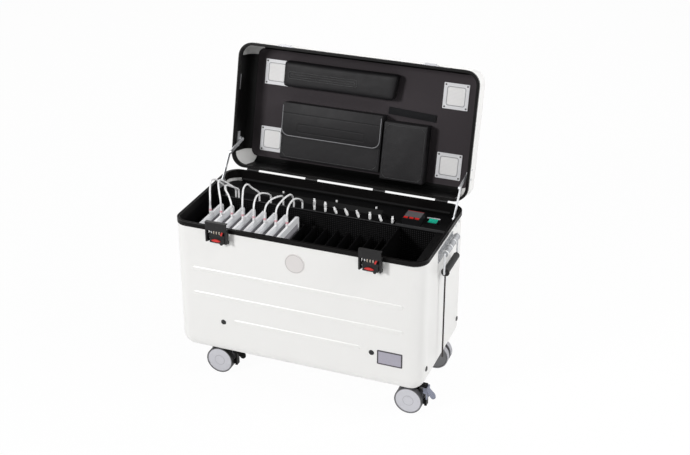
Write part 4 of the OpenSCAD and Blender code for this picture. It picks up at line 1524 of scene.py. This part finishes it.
@dataclass
class NodeDresser:
    """Gives each CAD node that stays in view its finish."""

    nodes: dict[Finish, str] = field(default_factory=lambda: {
        Finish.SHELL: "case_shell lid_shell",
        Finish.PROFILE: "case_rim lid_rim",
        Finish.LINING: "lid_lining",
        Finish.FRAME: "vent_frames",
        Finish.FILTER: "vent_filters",
        Finish.COAT: "hinge_case hinge_lid latch_bases latch_flap_l latch_flap_r castor_plates",
        Finish.CATCH: "catch_plates",
        Finish.RED: "latch_button_l latch_button_r module_button_1 module_button_2 module_button_3",
        Finish.HANDLE: "handle_brackets",
        Finish.STEEL: "bail_l bail_r stay_case_brackets stay_lid_brackets "
                      "stay_lower_l stay_lower_r stay_upper_l stay_upper_r",
        Finish.GRIP: "grip_l grip_r",
        # painted shade: the front left pedal takes the dark finish for the shadow it stands in; the front
        # right pedal shows the pedals' own grey
        Finish.DARK: "pedal_fl liner slot_dividers "
                     "castor_fork_fl castor_fork_fr castor_fork_rl castor_fork_rr",
        Finish.PEDAL: "pedal_fr",
        Finish.HOUSING: "rear_housing",
        Finish.MODULE: "power_module",
        Finish.GREEN: "rocker",
        Finish.TRIM: "plugs_and_plates",
        Finish.CREAM: "dial_l1 dial_l2 dial_l3 dial_r1 dial_r2 dial_r3"})
    screen_across: float = 74.0
    screen_down: tuple[float, float] = (22.0, 218.0)
    treads: dict[str, Colour] = field(default_factory=lambda: {
        "fl": (0.02, 0.02, 0.02), "fr": (0.06, 0.06, 0.065), "rl": (0.1, 0.1, 0.1), "rr": (0.45, 0.45, 0.48)})
    # painted shade: the rear right wheel's disc is darker, for the shadow it stands in
    shaded_discs: dict[str, Colour] = field(default_factory=lambda: {"rr": (0.24, 0.24, 0.25)})

    def build(self) -> None:
        """Dresses every node."""
        chosen = {node: finish for finish, names in self.nodes.items() for node in names.split()}
        for key, tread in self.treads.items():
            low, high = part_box(f"wheels_{key}")
            centre = tuple((low + high) / 2 / MM)
            disc = self.shaded_discs.get(key, WheelPlastic.disc)
            chosen[f"wheels_{key}"] = WheelPlastic(f"wheel_{key}", centre, tread, disc)
        y, (high, low) = SLOT_Y + middle_y(), self.screen_down
        sides = (y - self.screen_across, y + self.screen_across)
        chosen["tablets"] = TabletCase("tablet_case", sides, (LIP - low, LIP - high))
        for node, finish in chosen.items():
            materials = bpy.data.objects[node].data.materials
            materials.clear()
            materials.append(paint(finish))
        log.info("%d nodes dressed", len(chosen))


# ---------------------------------------------------------------- studio


@dataclass(frozen=True)
class Lamp:
    """A square soft lamp that points at the case."""

    name: str
    spot: Point
    size: float
    power: float

    def build(self) -> None:
        """Makes the lamp."""
        data = bpy.data.lights.new(self.name, "AREA")
        data.size = self.size
        data.energy = self.power
        obj = bpy.data.objects.new(self.name, data)
        bpy.context.collection.objects.link(obj)
        aim = Vector((0, 0, 0.45)) - Vector(self.spot)
        obj.matrix_world = Matrix.Translation(self.spot) @ aim.to_track_quat("-Z", "Y").to_matrix().to_4x4()


@dataclass
class Studio:
    """Pale floor, white surround and soft lamps."""

    world_level: float = 0.2
    floor_glow: float = 0.965
    lamps: tuple[Lamp, ...] = (
        Lamp("key", (-3.0, -5.0, 3.35), 1.2, 238.0),
        Lamp("side", (2.7, -0.2, 2.5), 1.8, 66.0),
        Lamp("top", (0.2, 0.9, 3.4), 2.4, 15.0),
        Lamp("back", (-1.2, 3.6, 1.8), 2.0, 20.0))

    def build(self) -> None:
        """Makes the floor, the world and the lamps."""
        bm = bmesh.new()
        bmesh.ops.create_grid(bm, x_segments=1, y_segments=1, size=12.0)
        mesh = bpy.data.meshes.new("floor")
        bm.to_mesh(mesh)
        bm.free()
        floor = bpy.data.objects.new("floor", mesh)
        floor.location.z = -0.0005
        bpy.context.collection.objects.link(floor)
        mesh.materials.append(self.floor_paper())
        self.surround()
        for lamp in self.lamps:
            lamp.build()

    def floor_paper(self) -> bpy.types.Material:
        """White paper that keeps a faint shadow where the camera sees it.

        Returns:
            The material.
        """
        g = Graph("floor_paper")
        grain = g.noise(3, 2)
        g.dress(base_color=g.mix(grain, (0.9, 0.9, 0.9), (0.92, 0.92, 0.92)), roughness=0.8)
        glow = g.add("ShaderNodeEmission", {}, {"Color": (1, 1, 1, 1), "Strength": 1.0})
        path = g.add("ShaderNodeLightPath", {}, {})
        seen = Term(g, path.outputs["Is Camera Ray"]) + Term(g, path.outputs["Is Glossy Ray"])
        seen = seen + Term(g, path.outputs["Is Transmission Ray"])
        sockets = {0: seen * self.floor_glow, 1: g.shader.outputs[0], 2: glow.outputs[0]}
        both = g.add("ShaderNodeMixShader", {}, sockets)
        out = next(n for n in g.tree.nodes if n.type == "OUTPUT_MATERIAL")
        g.tree.links.new(both.outputs[0], out.inputs["Surface"])
        return g.material

    def surround(self) -> None:
        """White world, seen by the camera and in reflections."""
        world = bpy.data.worlds.new("surround")
        bpy.context.scene.world = world
        world.use_nodes = True
        tree = world.node_tree
        tree.nodes.clear()
        out = tree.nodes.new("ShaderNodeOutputWorld")
        path = tree.nodes.new("ShaderNodeLightPath")
        mix = tree.nodes.new("ShaderNodeMixShader")
        for number, level in ((1, self.world_level), (2, 1.0)):
            light = tree.nodes.new("ShaderNodeBackground")
            light.inputs[0].default_value = (1, 1, 1, 1)
            light.inputs[1].default_value = level
            tree.links.new(light.outputs[0], mix.inputs[number])
        seen = path.outputs["Is Camera Ray"]
        for ray in ("Is Glossy Ray", "Is Transmission Ray"):
            either = tree.nodes.new("ShaderNodeMath")
            either.operation = "MAXIMUM"
            tree.links.new(seen, either.inputs[0])
            tree.links.new(path.outputs[ray], either.inputs[1])
            seen = either.outputs[0]
        tree.links.new(seen, mix.inputs[0])
        tree.links.new(mix.outputs[0], out.inputs[0])


def write_sizes() -> None:
    """Updates the scene's view layer.
    """
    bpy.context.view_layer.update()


def main() -> None:
    """Builds the scene."""
    logging.basicConfig(level=logging.INFO, format="%(message)s")
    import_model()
    PhotoCamera().build()
    ChargingLeads().build()
    PullCord().build()
    LidGoods().build()
    LatchMarks().build()
    NodeDresser().build()
    Studio().build()
    bpy.context.scene.view_settings.view_transform = "Standard"
    write_sizes()


if __name__ == "__main__":
    main()
